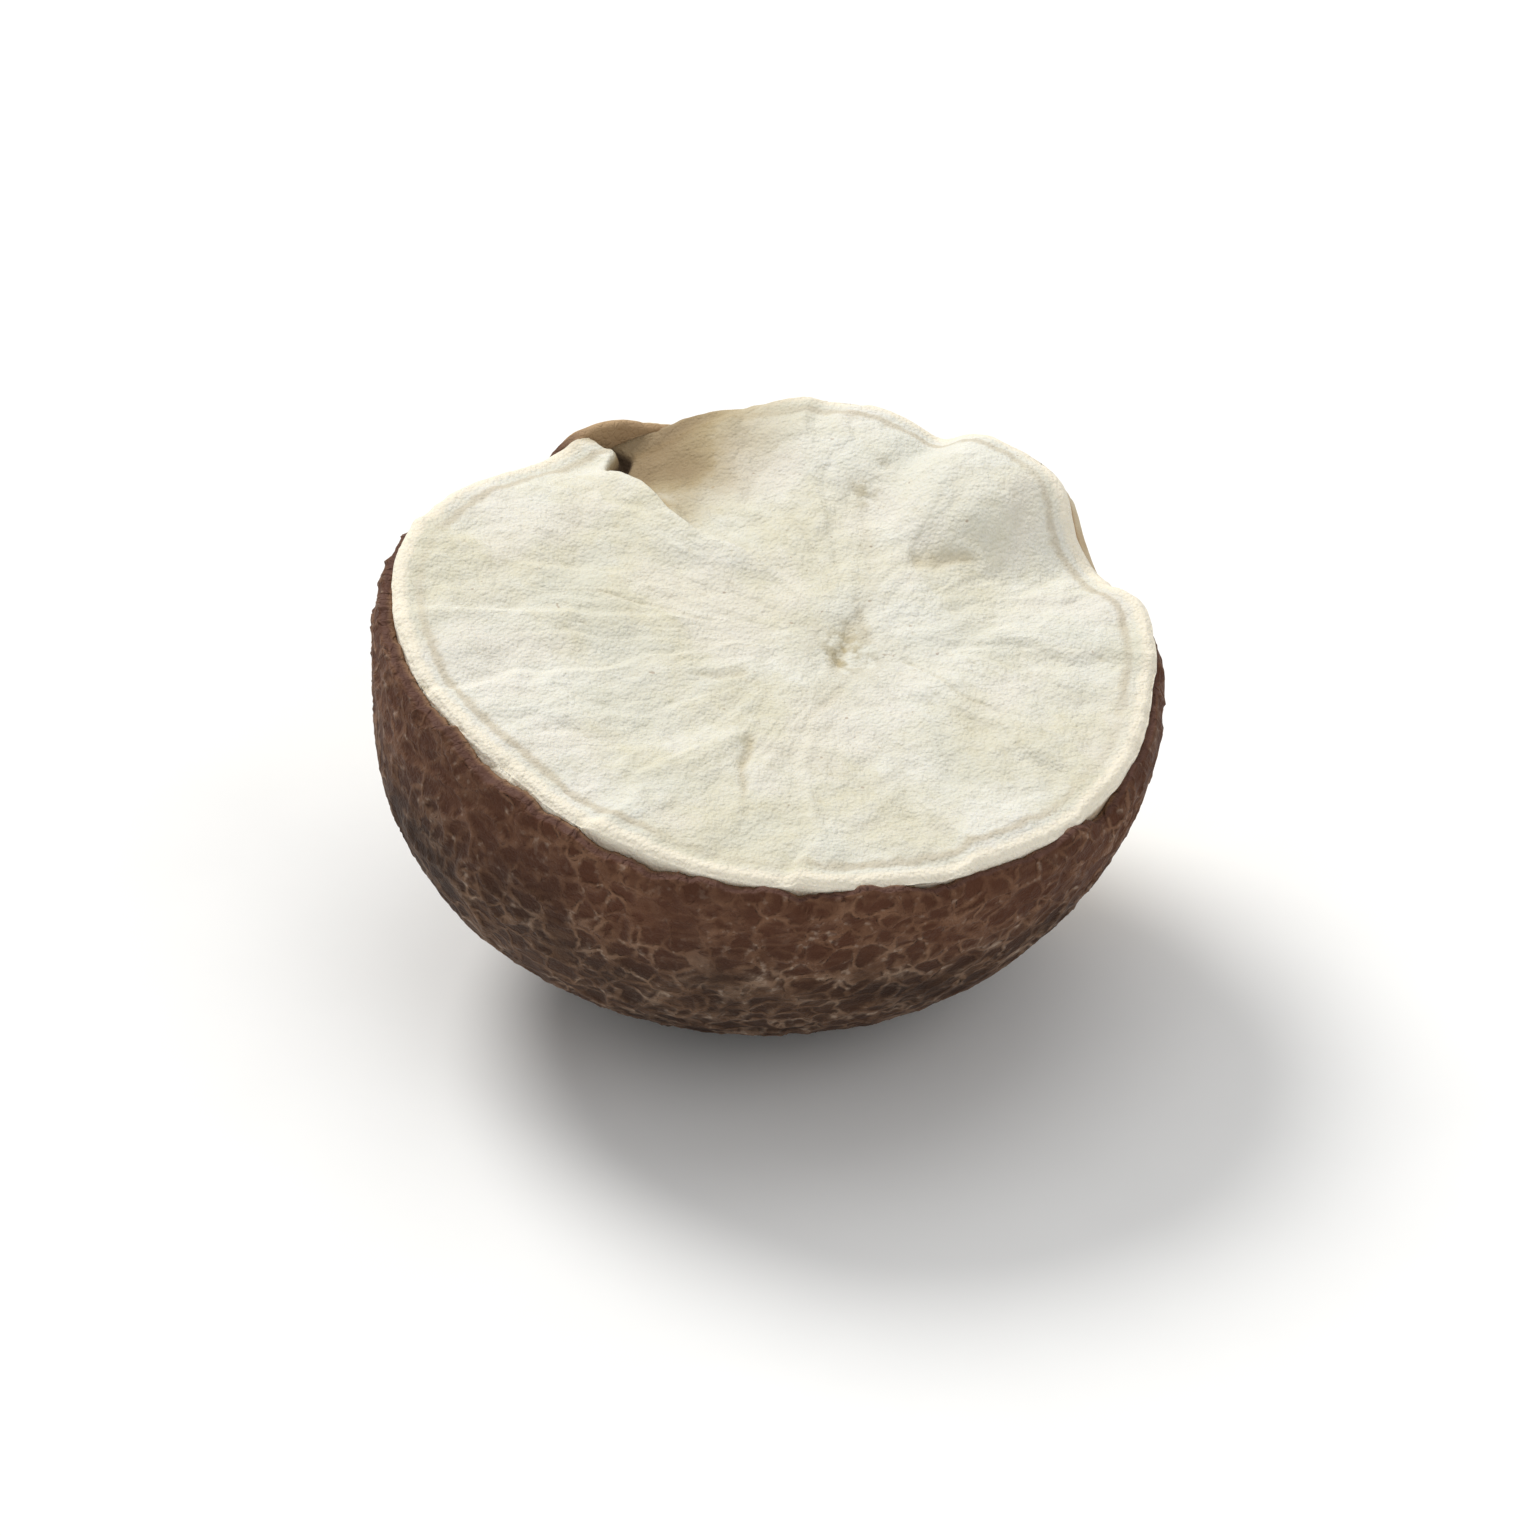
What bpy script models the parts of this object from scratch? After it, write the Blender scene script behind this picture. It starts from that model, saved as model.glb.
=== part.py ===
"""Half of a split fox nut: the white starchy kernel lying in its thin brown seed coat.

The seed is a slightly squashed ball. A rough break has taken its upper part away, and the half
rests on a small flat spot. The X axis runs from side to side, Y from front to back and Z up,
and the origin is the middle of the flat spot.
"""

import bmesh
import bpy
import numpy as np

# Everything below is in millimetres until the last step, which turns it into metres
MM = 0.001

# The whole seed, as it was before it split
SEED_HALF_WIDTH = 4.50
SEED_HALF_DEPTH = 4.42
SEED_HALF_HEIGHT = 4.42
SQUARENESS = 2.10
SPOT_RADIUS = 1.10
SPOT_ELEVATION_GUESS = -80.0
COAT_THICKNESS = 0.18
COAT_GAP = 0.05

# Places where the seed was pressed by its neighbours in the fruit: azimuth and elevation in
# degrees, depth in millimetres, and half of the angle that the dent covers. Where the depth is
# below zero the seed swells
PRESSED_PLACES = (
    (200.0, -24.0, -0.13, 30.0),
    (-34.0, -6.0, -0.08, 26.0),
    (108.0, -12.0, 0.10, 32.0),
)

# Places where the rim is drawn in: azimuth, depth, half of the angle that it covers, and the
# height over the seed's middle where it starts
PINCHES = (
    (27.0, 0.44, 9.0, -1.3),
    (139.0, 0.28, 15.0, -1.2),
    (221.0, 0.42, 34.0, -1.8),
)
PINCH_TOP = 0.2

# The break slopes down to the front and to the right, and its relief fans out from FAN_MIDDLE.
# It has two lumps, given by place, size and height, two valleys that run out to the rim, given
# by azimuth, depth, half width and where they start and end, and a dent with one steep side
BREAK_SLOPE_X = -0.098
BREAK_SLOPE_Y = 0.098
FAN_MIDDLE = (0.80, 0.20)
LUMPS = (
    ((2.55, 2.60), (1.15, 0.95), 0.42),
    ((0.85, 3.45), (0.85, 0.80), 0.16),
)
LUMP_STEEPNESS = 1.4
VALLEYS = (
    (33.0, 0.34, 0.50, 1.0, 3.3),
    (73.5, 0.16, 0.26, 1.5, 3.6),
)
DENT_EDGE_AZIMUTH = 128.0
DENT_EDGE_HALF_ANGLE = 1.6
DENT_FADE = (4.0, 46.0)
DENT_DEPTH = 0.24
DENT_REACH = (0.5, 3.4)

# Facets fan out from the middle of the break, each a little tilted against the next
FAN_FACETS = 13
FAN_WIDTHS = (0.6, 1.5)
FAN_TILTS = (0.2, 1.0)
FAN_HEIGHT = 0.055
FAN_SHARES = (0.1, 0.9)
FAN_SEED = 11

# A cleft in the middle of the break, and cracks that run out from it
CRACK_AZIMUTHS = (-112.0, 68.0)
CRACK_REACH = (0.40, 0.32)
CRACK_TAPER = 0.12
CRACK_DEPTH = 0.08
CLEFT_RADIUS = 0.35
CLEFT_DEPTH = 0.26

# The hard rind of the kernel shows as a low raised band round the break
RIND_WIDTH = 0.26
RIND_SOFTNESS = 0.4
RIND_HEIGHT = 0.035
WORN_EDGE = 0.05

# The broken edge of the coat lies a little lower than the kernel's rim and is ragged
EDGE_DROP = 0.10
EDGE_WAVES = (5, 9, 14, 23)
EDGE_WAVE_HEIGHT = 0.025
EDGE_NOTCHES = (
    (-85.0, 0.12, 2.6),
    (-118.0, 0.08, 4.0),
    (-32.0, 0.10, 3.2),
    (138.0, 0.20, 24.0),
    (60.0, 0.12, 14.0),
)
EDGE_SEED = 5

# Wrinkles of the brown skin, coarser than life
WRINKLE_SPACING = 0.88
WRINKLE_HEIGHT = 0.09
WRINKLE_STEEPNESS = 1.2
WAVE_COUNT = 60
WAVE_SEED = 23
SPOT_CLEAR_ANGLE = 9.0

# The pale cap with the scar where the seed hung in its fruit
CAP_AZIMUTH = 75.0
CAP_ELEVATION = -25.0
CAP_HALF_ANGLE = 54.0
CAP_EDGE_INSIDE = 2.0
CAP_EDGE_OUTSIDE = 3.0
CAP_LIP_HEIGHT = 0.06
CAP_LIP_HALF_ANGLE = 3.2
CAP_WRINKLES = 0.12
SCAR_HALF_ANGLE = 13.5
SCAR_LIP_HEIGHT = 0.09
SCAR_LIP_HALF_ANGLE = 3.0
SCAR_DEPTH = 0.10
SCAR_WALL_ANGLE = 5.0
SCAR_PIP_HEIGHT = 0.09
SCAR_PIP_HALF_ANGLE = 3.6

# Plain colours and roughness of the two parts, and the angle above which an edge looks sharp
KERNEL_COLOUR = (0.76, 0.72, 0.60)
KERNEL_ROUGHNESS = 0.9
COAT_COLOUR = (0.085, 0.047, 0.032)
COAT_ROUGHNESS = 0.75
SHARP_ANGLE = 50.0

# How finely the two balls are divided. The outer rows of the face lie close together, and
# RIND_SHARE is how far out the last of them ends, from 0 in the middle to 1 at the rim
COLUMNS = 112
OUTSIDE_ROWS = 32
INSIDE_ROWS = 8
FACE_ROWS = 14
RIND_ROWS = 3
RIND_SHARE = 0.91

# How often a place on the seed is worked out again until it settles
EDGE_STEPS = 24


def clear_scene():
    """Remove every object that the file opened with."""
    for thing in list(bpy.data.objects):
        bpy.data.objects.remove(thing, do_unlink=True)


def smooth_step(value, start, end):
    """Rise smoothly from 0 at start to 1 at end."""
    share = np.clip((value - start) / (end - start), 0.0, 1.0)
    return share * share * (3.0 - 2.0 * share)


def bell(value, half_width):
    """A smooth bump of height 1 at zero."""
    return np.exp(-((value / half_width) ** 2))


def wrapped(angle):
    """Bring an angle in degrees into the range from -180 to 180."""
    return (angle + 180.0) % 360.0 - 180.0


def direction(azimuth, elevation):
    """Unit vectors for angles in degrees."""
    across = np.cos(np.radians(elevation))
    return np.stack(
        (
            across * np.cos(np.radians(azimuth)),
            across * np.sin(np.radians(azimuth)),
            np.sin(np.radians(elevation)),
        ),
        axis=-1,
    )


def angle_from(towards, azimuth, elevation):
    """Angle in degrees between the vectors and one fixed direction."""
    return np.degrees(np.arccos(np.clip(towards @ direction(azimuth, elevation), -1.0, 1.0)))


def seed_radius(azimuth, elevation):
    """Distance from the seed's middle to the plain outside of its coat."""
    towards = direction(azimuth, elevation)
    half_sizes = np.array((SEED_HALF_WIDTH, SEED_HALF_DEPTH, SEED_HALF_HEIGHT))
    folded = np.sum((np.abs(towards) / half_sizes) ** SQUARENESS, axis=-1)
    radius = folded ** (-1.0 / SQUARENESS)
    for place_azimuth, place_elevation, depth, half_angle in PRESSED_PLACES:
        radius -= depth * bell(angle_from(towards, place_azimuth, place_elevation), half_angle)
    height = radius * towards[..., 2]
    for pinch_azimuth, depth, half_angle, bottom in PINCHES:
        pinch = bell(wrapped(azimuth - pinch_azimuth), half_angle)
        radius = radius - depth * pinch * smooth_step(height, bottom, PINCH_TOP)
    return radius


def middle_height():
    """Height of the seed's middle above the flat spot.

    The spot is cut where the seed is SPOT_RADIUS wide, at the azimuth where it is deepest there,
    so nothing round the spot reaches below it.
    """
    azimuth = np.arange(COLUMNS) * 360.0 / COLUMNS
    elevation = np.full(COLUMNS, SPOT_ELEVATION_GUESS)
    for _ in range(EDGE_STEPS):
        radius = seed_radius(azimuth, elevation)
        elevation = -np.degrees(np.arccos(SPOT_RADIUS / radius))
    return float(np.max(-radius * np.sin(np.radians(elevation))))


def fan_relief(azimuth):
    """Saw-tooth facets that fan out from the middle of the break, from -1 to 1."""
    random = np.random.default_rng(FAN_SEED)
    widths = random.uniform(*FAN_WIDTHS, FAN_FACETS)
    edges = np.concatenate(((0.0,), np.cumsum(widths))) * 360.0 / widths.sum()
    step = 360.0 / COLUMNS
    starts = np.round(edges[:-1] / step) * step
    ends = np.round(edges[1:] / step) * step
    highs = random.uniform(*FAN_TILTS, FAN_FACETS)
    lows = -random.uniform(*FAN_TILTS, FAN_FACETS)
    places = np.stack((starts + 2.0 * step, ends), axis=1).ravel()
    heights = np.stack((highs, lows), axis=1).ravel()
    return np.interp(azimuth % 360.0, places, heights, period=360.0)


def crack_relief(azimuth, share):
    """Cracks that run outwards from the cleft in the middle, as a depth from 0 to 1."""
    depth = np.zeros(np.broadcast(azimuth, share).shape)
    step = 360.0 / COLUMNS
    for crack_azimuth, reach in zip(CRACK_AZIMUTHS, CRACK_REACH):
        on_column = round(crack_azimuth / step) * step
        across = np.clip(1.0 - np.abs(wrapped(azimuth - on_column)) / step, 0.0, 1.0)
        depth = np.maximum(depth, across * smooth_step(share, reach + CRACK_TAPER, reach))
    return depth


def break_height(x, y):
    """Height of the break over the seed's middle, without its fine relief."""
    height = BREAK_SLOPE_X * x + BREAK_SLOPE_Y * y
    azimuth = np.degrees(np.arctan2(y - FAN_MIDDLE[1], x - FAN_MIDDLE[0]))
    reach = np.hypot(x - FAN_MIDDLE[0], y - FAN_MIDDLE[1])
    for place, size, lump_height in LUMPS:
        lump = ((x - place[0]) / size[0]) ** 2 + ((y - place[1]) / size[1]) ** 2
        height += lump_height * np.exp(-(lump**LUMP_STEEPNESS))
    for valley_azimuth, depth, half_width, start, end in VALLEYS:
        off_valley = wrapped(azimuth - valley_azimuth)
        across = reach * np.sin(np.radians(off_valley))
        valley = bell(across, half_width) * smooth_step(reach, start, end)
        height -= depth * valley * (np.abs(off_valley) < 90.0)
    past_edge = wrapped(DENT_EDGE_AZIMUTH - azimuth)
    dent = smooth_step(past_edge, -DENT_EDGE_HALF_ANGLE, DENT_EDGE_HALF_ANGLE)
    dent *= 1.0 - smooth_step(past_edge, *DENT_FADE)
    return height - DENT_DEPTH * dent * smooth_step(reach, *DENT_REACH)


def rim_elevation(azimuth, inset, drop):
    """Elevation at which a surface of the seed meets the break.

    inset is how far that surface lies inside the coat's plain outside, and drop is how far
    below the break its edge ends.
    """
    elevation = np.zeros_like(azimuth)
    for _ in range(EDGE_STEPS):
        radius = seed_radius(azimuth, elevation) - inset
        across = radius * np.cos(np.radians(elevation))
        turn = np.radians(azimuth)
        height = break_height(across * np.cos(turn), across * np.sin(turn)) - drop
        elevation = np.degrees(np.arctan2(height, across))
    return elevation


def edge_drop(azimuth):
    """How far the coat's broken edge lies below the kernel's rim."""
    random = np.random.default_rng(EDGE_SEED)
    ragged = np.zeros_like(azimuth)
    for waves in EDGE_WAVES:
        ragged += np.sin(np.radians(azimuth * waves) + random.uniform(0.0, 2.0 * np.pi))
    drop = EDGE_DROP + EDGE_WAVE_HEIGHT * ragged
    for notch_azimuth, depth, half_angle in EDGE_NOTCHES:
        drop += depth * bell(wrapped(azimuth - notch_azimuth), half_angle)
    return drop


def wrinkles(points):
    """Winding ridges on the skin: 1 on a ridge and 0 in the hollows between."""
    random = np.random.default_rng(WAVE_SEED)
    field = np.zeros(points.shape[:-1])
    turns = 2.0 * np.pi / WRINKLE_SPACING
    for _ in range(WAVE_COUNT):
        heading = random.normal(size=3)
        heading /= np.linalg.norm(heading)
        field += np.cos(points @ heading * turns + random.uniform(0.0, 2.0 * np.pi))
    field *= np.sqrt(2.0 / WAVE_COUNT)
    return 0.5 + 0.5 * np.tanh(field * WRINKLE_STEEPNESS)


def skin_relief(azimuth, elevation):
    """Height of the coat's relief over its plain outside: wrinkles, cap and scar."""
    towards = direction(azimuth, elevation)
    from_scar = angle_from(towards, CAP_AZIMUTH, CAP_ELEVATION)
    on_skin = smooth_step(
        from_scar, CAP_HALF_ANGLE - CAP_EDGE_INSIDE, CAP_HALF_ANGLE + CAP_EDGE_OUTSIDE
    )
    share = CAP_WRINKLES + (1.0 - CAP_WRINKLES) * on_skin
    relief = WRINKLE_HEIGHT * share * wrinkles(towards * SEED_HALF_WIDTH)
    relief += CAP_LIP_HEIGHT * bell(from_scar - CAP_HALF_ANGLE, CAP_LIP_HALF_ANGLE)
    relief += SCAR_LIP_HEIGHT * bell(from_scar - SCAR_HALF_ANGLE, SCAR_LIP_HALF_ANGLE)
    relief -= SCAR_DEPTH * smooth_step(from_scar, SCAR_HALF_ANGLE, SCAR_HALF_ANGLE - SCAR_WALL_ANGLE)
    relief += SCAR_PIP_HEIGHT * bell(from_scar, SCAR_PIP_HALF_ANGLE)
    spot_elevation = np.degrees(np.arctan2(-middle_height(), SPOT_RADIUS))
    return relief * smooth_step(elevation, spot_elevation, spot_elevation + SPOT_CLEAR_ANGLE)


def on_seed(azimuth, elevation, radius):
    """Points at a distance from the seed's middle, in the frame of the part."""
    points = direction(azimuth, elevation) * radius[..., None]
    points[..., 2] += middle_height()
    return points


def rows_and_columns(ball, rows):
    """Row number from the bottom pole and azimuth of every vertex of a unit ball."""
    places = np.array([vertex.co for vertex in ball.verts])
    tilt = np.arccos(np.clip(-places[:, 2], -1.0, 1.0))
    row = np.rint(tilt / np.pi * rows).astype(int)
    return row, np.degrees(np.arctan2(places[:, 1], places[:, 0]))


def kernel_points(row, azimuth):
    """Lay a ball's rows up the kernel's outside and in over its broken face."""
    inset = COAT_THICKNESS + COAT_GAP
    rim = rim_elevation(azimuth, inset, WORN_EDGE)
    climb = np.clip(row / INSIDE_ROWS, 0.0, 1.0)
    elevation = -90.0 + (rim + 90.0) * climb
    outside = on_seed(azimuth, elevation, seed_radius(azimuth, elevation) - inset)

    rim_points = on_seed(azimuth, rim, seed_radius(azimuth, rim) - inset)
    rings_in = np.clip(row - INSIDE_ROWS, 0, FACE_ROWS)
    share = np.interp(rings_in, (0, RIND_ROWS, FACE_ROWS), (1.0, RIND_SHARE, 0.0))
    x = FAN_MIDDLE[0] + (rim_points[:, 0] - FAN_MIDDLE[0]) * share
    y = FAN_MIDDLE[1] + (rim_points[:, 1] - FAN_MIDDLE[1]) * share
    rim_reach = np.hypot(rim_points[:, 0] - FAN_MIDDLE[0], rim_points[:, 1] - FAN_MIDDLE[1])
    height = break_height(x, y)
    height += FAN_HEIGHT * fan_relief(azimuth) * smooth_step(share, *FAN_SHARES)
    height -= CRACK_DEPTH * crack_relief(azimuth, share)
    height -= CLEFT_DEPTH * bell(rim_reach * share, CLEFT_RADIUS)
    rind = 1.0 + RIND_SOFTNESS * np.array((1.0, -1.0))
    height += RIND_HEIGHT * smooth_step(rim_reach * (1.0 - share), *(RIND_WIDTH * rind))
    face = np.stack((x, y, height + middle_height()), axis=-1)

    on_face = (row > INSIDE_ROWS)[:, None]
    return np.where(on_face, face, outside)


def coat_points(row, azimuth):
    """Lay a ball's rows up the coat's outside, over its edge and down its inside."""
    drop = edge_drop(azimuth)
    rim = rim_elevation(azimuth, 0.0, drop)
    spot_elevation = np.degrees(np.arctan2(-middle_height(), SPOT_RADIUS))
    climb = np.clip((row - 1) / (OUTSIDE_ROWS - 1), 0.0, 1.0)
    elevation = spot_elevation + (rim - spot_elevation) * climb
    radius = seed_radius(azimuth, elevation) + skin_relief(azimuth, elevation)
    outside = on_seed(azimuth, elevation, radius)
    turn = np.radians(azimuth)
    spot = np.stack((np.cos(turn), np.sin(turn), np.zeros_like(turn)), axis=-1) * SPOT_RADIUS
    outside = np.where((row == 1)[:, None], spot, outside)
    outside = np.where((row == 0)[:, None], 0.0, outside)

    inner_rim = rim_elevation(azimuth, COAT_THICKNESS, drop)
    rows_down = np.clip(row - OUTSIDE_ROWS - 1, 0, INSIDE_ROWS)
    elevation = inner_rim + (-90.0 - inner_rim) * rows_down / INSIDE_ROWS
    inside = on_seed(azimuth, elevation, seed_radius(azimuth, elevation) - COAT_THICKNESS)
    return np.where((row > OUTSIDE_ROWS)[:, None], inside, outside)


def shaped_ball(name, rows, place, colour, roughness):
    """Make an object from a ball whose rows are laid out by the function place."""
    ball = bmesh.new()
    bmesh.ops.create_uvsphere(ball, u_segments=COLUMNS, v_segments=rows, radius=1.0)
    row, azimuth = rows_and_columns(ball, rows)
    for vertex, point in zip(ball.verts, place(row, azimuth)):
        vertex.co = point * MM
    mesh = bpy.data.meshes.new(name)
    ball.to_mesh(mesh)
    ball.free()
    mesh.shade_smooth()
    mesh.set_sharp_from_angle(angle=np.radians(SHARP_ANGLE))
    mesh.materials.append(plain_material(name, colour, roughness))
    return bpy.data.objects.new(name, mesh)


def plain_material(name, colour, roughness):
    """A Principled BSDF of one colour."""
    material = bpy.data.materials.new(name)
    material.use_nodes = True
    shader = material.node_tree.nodes["Principled BSDF"]
    shader.inputs["Base Color"].default_value = (*colour, 1.0)
    shader.inputs["Roughness"].default_value = roughness
    shader.inputs["Metallic"].default_value = 0.0
    material.diffuse_color = (*colour, 1.0)
    return material


def main():
    """Build the kernel and the coat in a collection of their own."""
    clear_scene()
    collection = bpy.data.collections.new("fox_nut")
    bpy.context.scene.collection.children.link(collection)
    rows = INSIDE_ROWS + FACE_ROWS
    kernel = shaped_ball("kernel", rows, kernel_points, KERNEL_COLOUR, KERNEL_ROUGHNESS)
    collection.objects.link(kernel)
    rows = OUTSIDE_ROWS + 1 + INSIDE_ROWS
    coat = shaped_ball("seed_coat", rows, coat_points, COAT_COLOUR, COAT_ROUGHNESS)
    collection.objects.link(coat)


main()
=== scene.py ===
"""Looks of the fox nut half: its broken white kernel and its wrinkled brown seed coat.

Shapes are worked out in millimetres round the seed's middle, in the same way as the solids
they stand for, and turned into metres when a mesh is made. Angles are in degrees.
"""

import logging
import math
from dataclasses import dataclass
from enum import Enum
from functools import cache, cached_property
from typing import Any

import bpy
import numpy as np
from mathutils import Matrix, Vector


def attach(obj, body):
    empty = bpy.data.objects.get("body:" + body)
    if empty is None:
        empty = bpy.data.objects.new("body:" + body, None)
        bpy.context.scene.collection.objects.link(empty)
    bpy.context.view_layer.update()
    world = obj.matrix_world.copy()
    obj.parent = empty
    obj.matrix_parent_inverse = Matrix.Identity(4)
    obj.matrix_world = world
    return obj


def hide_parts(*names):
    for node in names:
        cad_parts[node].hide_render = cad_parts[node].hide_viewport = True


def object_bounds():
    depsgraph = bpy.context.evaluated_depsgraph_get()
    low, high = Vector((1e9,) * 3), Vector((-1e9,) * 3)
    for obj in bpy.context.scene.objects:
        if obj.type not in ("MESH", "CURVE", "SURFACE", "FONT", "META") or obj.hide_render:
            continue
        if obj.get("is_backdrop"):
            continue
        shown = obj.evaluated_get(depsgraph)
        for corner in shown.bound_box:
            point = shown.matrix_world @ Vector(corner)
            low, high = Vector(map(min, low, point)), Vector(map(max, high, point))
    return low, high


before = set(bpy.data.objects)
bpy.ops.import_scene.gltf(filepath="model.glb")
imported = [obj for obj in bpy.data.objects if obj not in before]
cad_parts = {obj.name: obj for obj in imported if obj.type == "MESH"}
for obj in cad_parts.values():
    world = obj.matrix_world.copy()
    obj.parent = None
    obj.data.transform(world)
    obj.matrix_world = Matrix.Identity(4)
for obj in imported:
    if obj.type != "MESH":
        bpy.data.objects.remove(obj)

Array = np.ndarray
Pair = tuple[float, float]
Triple = tuple[float, float, float]
Colour = Triple

MM = 0.001
SETTLING_ROUNDS = 24
NOISE_GAIN = 1.6
LAYERS_APART, FOLDED_LAYERS_APART = 17.3, 13.7
FOLD_SHARPNESS = 0.85
ON_RIND = 0.25

log = logging.getLogger("fox_nut")


def rise(value: Array, start: float, end: float) -> Array:
    """Go smoothly from 0 at start to 1 at end, whichever of the two is larger."""
    share = np.clip((value - start) / (end - start), 0.0, 1.0)
    return share * share * (3.0 - 2.0 * share)


def bell(value: Array, half_width: float) -> Array:
    """A smooth bump of height 1 at zero."""
    return np.exp(-((value / half_width) ** 2))


def wrapped(angle: Array) -> Array:
    """Bring an angle into the range from -180 to 180."""
    return (angle + 180.0) % 360.0 - 180.0


def azimuths(count: int) -> Array:
    """Evenly spaced headings all round."""
    return np.arange(count) * 360.0 / count


def direction(azimuth: Array, elevation: Array | float) -> Array:
    """Turn headings and elevations into unit vectors.

    Args:
        azimuth: the headings.
        elevation: the elevations.

    Returns:
        The vectors.
    """
    turn, climb = np.radians(azimuth), np.radians(elevation)
    parts = np.cos(climb) * np.cos(turn), np.cos(climb) * np.sin(turn), np.sin(climb)
    return np.stack(np.broadcast_arrays(*parts), axis=-1)


def polar(off: Array) -> tuple[Array, Array]:
    """Heading and length of flat vectors."""
    return np.degrees(np.arctan2(off[..., 1], off[..., 0])), np.hypot(off[..., 0], off[..., 1])


def angle_from(towards: Array, azimuth: float, elevation: float) -> Array:
    """Angle between the vectors and one fixed direction."""
    return np.degrees(np.arccos(np.clip(towards @ direction(azimuth, elevation), -1.0, 1.0)))


@cache
def lattice(seed: int) -> tuple[Array, Array]:
    """Draw what the noise of one seed is made of.

    Args:
        seed: number that fixes the draw.

    Returns:
        The order of the slopes and the slopes.
    """
    random = np.random.default_rng(seed)
    order = random.permutation(256)
    slopes = random.normal(size=(256, 3))
    return order, slopes / np.linalg.norm(slopes, axis=1)[:, None]


@dataclass(frozen=True)
class Grain:
    """Smooth seeded noise, with finer and weaker noise on top.

    It runs between about -1 and 1 times its height. Folded noise turns back at zero, which leaves
    soft bulges with creases between them.
    """

    seed: int
    size: float
    layers: int = 1
    falloff: float = 0.5
    shift: float = 0.0
    folded: bool = False
    height: float = 1.0

    def at(self, points: Array) -> Array:
        """Add up the layers.

        Args:
            points: places, one row of three numbers each.

        Returns:
            One number for each place.
        """
        total, weight = np.zeros(points.shape[:-1]), 1.0
        apart = FOLDED_LAYERS_APART if self.folded else LAYERS_APART
        for layer in range(self.layers):
            noise = self.layer((points + self.shift + apart * layer) / (self.size / 2.0**layer))
            total += weight * (np.abs(noise) ** FOLD_SHARPNESS if self.folded else noise)
            weight *= self.falloff
        return self.height * total

    def layer(self, scaled: Array) -> Array:
        """Blend the slopes at the corners of each place's cell.

        Args:
            scaled: places in cell sizes.

        Returns:
            One number for each place.
        """
        order, slopes = lattice(self.seed)
        cell = np.floor(scaled).astype(int)
        inside = scaled - cell
        ease = inside * inside * inside * (inside * (inside * 6.0 - 15.0) + 10.0)
        total = np.zeros(scaled.shape[:-1])
        for corner in np.ndindex(2, 2, 2):
            x, y, z = np.moveaxis((cell + corner) & 255, -1, 0)
            pick = order[(order[(order[x] + y) & 255] + z) & 255]
            height = np.einsum("...i,...i->...", slopes[pick], inside - corner)
            total += height * np.prod(np.where(corner, ease, 1.0 - ease), axis=-1)
        return total * NOISE_GAIN


@dataclass(frozen=True)
class WaveNet:
    """Plane waves of one length and every heading, whose sum is zero along an even net."""

    wavelength: float
    seed: int
    half_width: float
    waves: int = 60

    def at(self, points: Array) -> Array:
        """Add up the waves.

        Args:
            points: places, one row of three numbers each.

        Returns:
            One number for each place, with a spread of about 1.
        """
        random = np.random.default_rng(self.seed)
        total = np.zeros(points.shape[:-1])
        for _ in range(self.waves):
            heading = random.normal(size=3)
            heading /= np.linalg.norm(heading)
            phase = points @ heading * (2.0 * np.pi / self.wavelength)
            total += np.cos(phase + random.uniform(0.0, 2.0 * np.pi))
        return total * math.sqrt(2.0 / self.waves)


@dataclass(frozen=True)
class Bump:
    """A smooth bump round one value of a distance or an angle."""

    height: float
    half_width: float
    middle: float = 0.0

    def at(self, value: Array) -> Array:
        """Height at each value."""
        return self.height * bell(value - self.middle, self.half_width)


@dataclass(frozen=True)
class Strip:
    """A bump that runs along beside a line and rises over its start."""

    profile: Bump
    start: Pair

    def at(self, off: Array, reach: Array) -> Array:
        """Height at each distance off the line and along it."""
        return self.profile.at(off) * rise(reach, *self.start)


@dataclass(frozen=True)
class Swell:
    """A smooth change round one heading."""

    azimuth: float
    height: float
    half_angle: float

    def at(self, azimuth: Array) -> Array:
        """Height at each heading."""
        return self.height * bell(wrapped(azimuth - self.azimuth), self.half_angle)


@dataclass(frozen=True)
class Mound:
    """A smooth oval mound on the break seen from above."""

    middle: Pair
    size: Pair
    height: float
    steepness: float = 1.0

    def at(self, place: Array) -> Array:
        """Height at each place."""
        off = (place - np.array(self.middle)) / np.array(self.size)
        return self.height * np.exp(-(np.sum(off**2, axis=-1) ** self.steepness))


@dataclass(frozen=True)
class Valley:
    """A valley that runs out from the middle of the fan."""

    azimuth: float
    depth: float
    half_width: float
    reach: Pair

    def at(self, azimuth: Array, reach: Array) -> Array:
        """Work out the depth.

        Args:
            azimuth: headings from the middle of the fan.
            reach: distances from it.

        Returns:
            Depth at each place.
        """
        off = wrapped(azimuth - self.azimuth)
        across = reach * np.sin(np.radians(off))
        return self.depth * bell(across, self.half_width) * rise(reach, *self.reach) * (np.abs(off) < 90.0)


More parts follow.
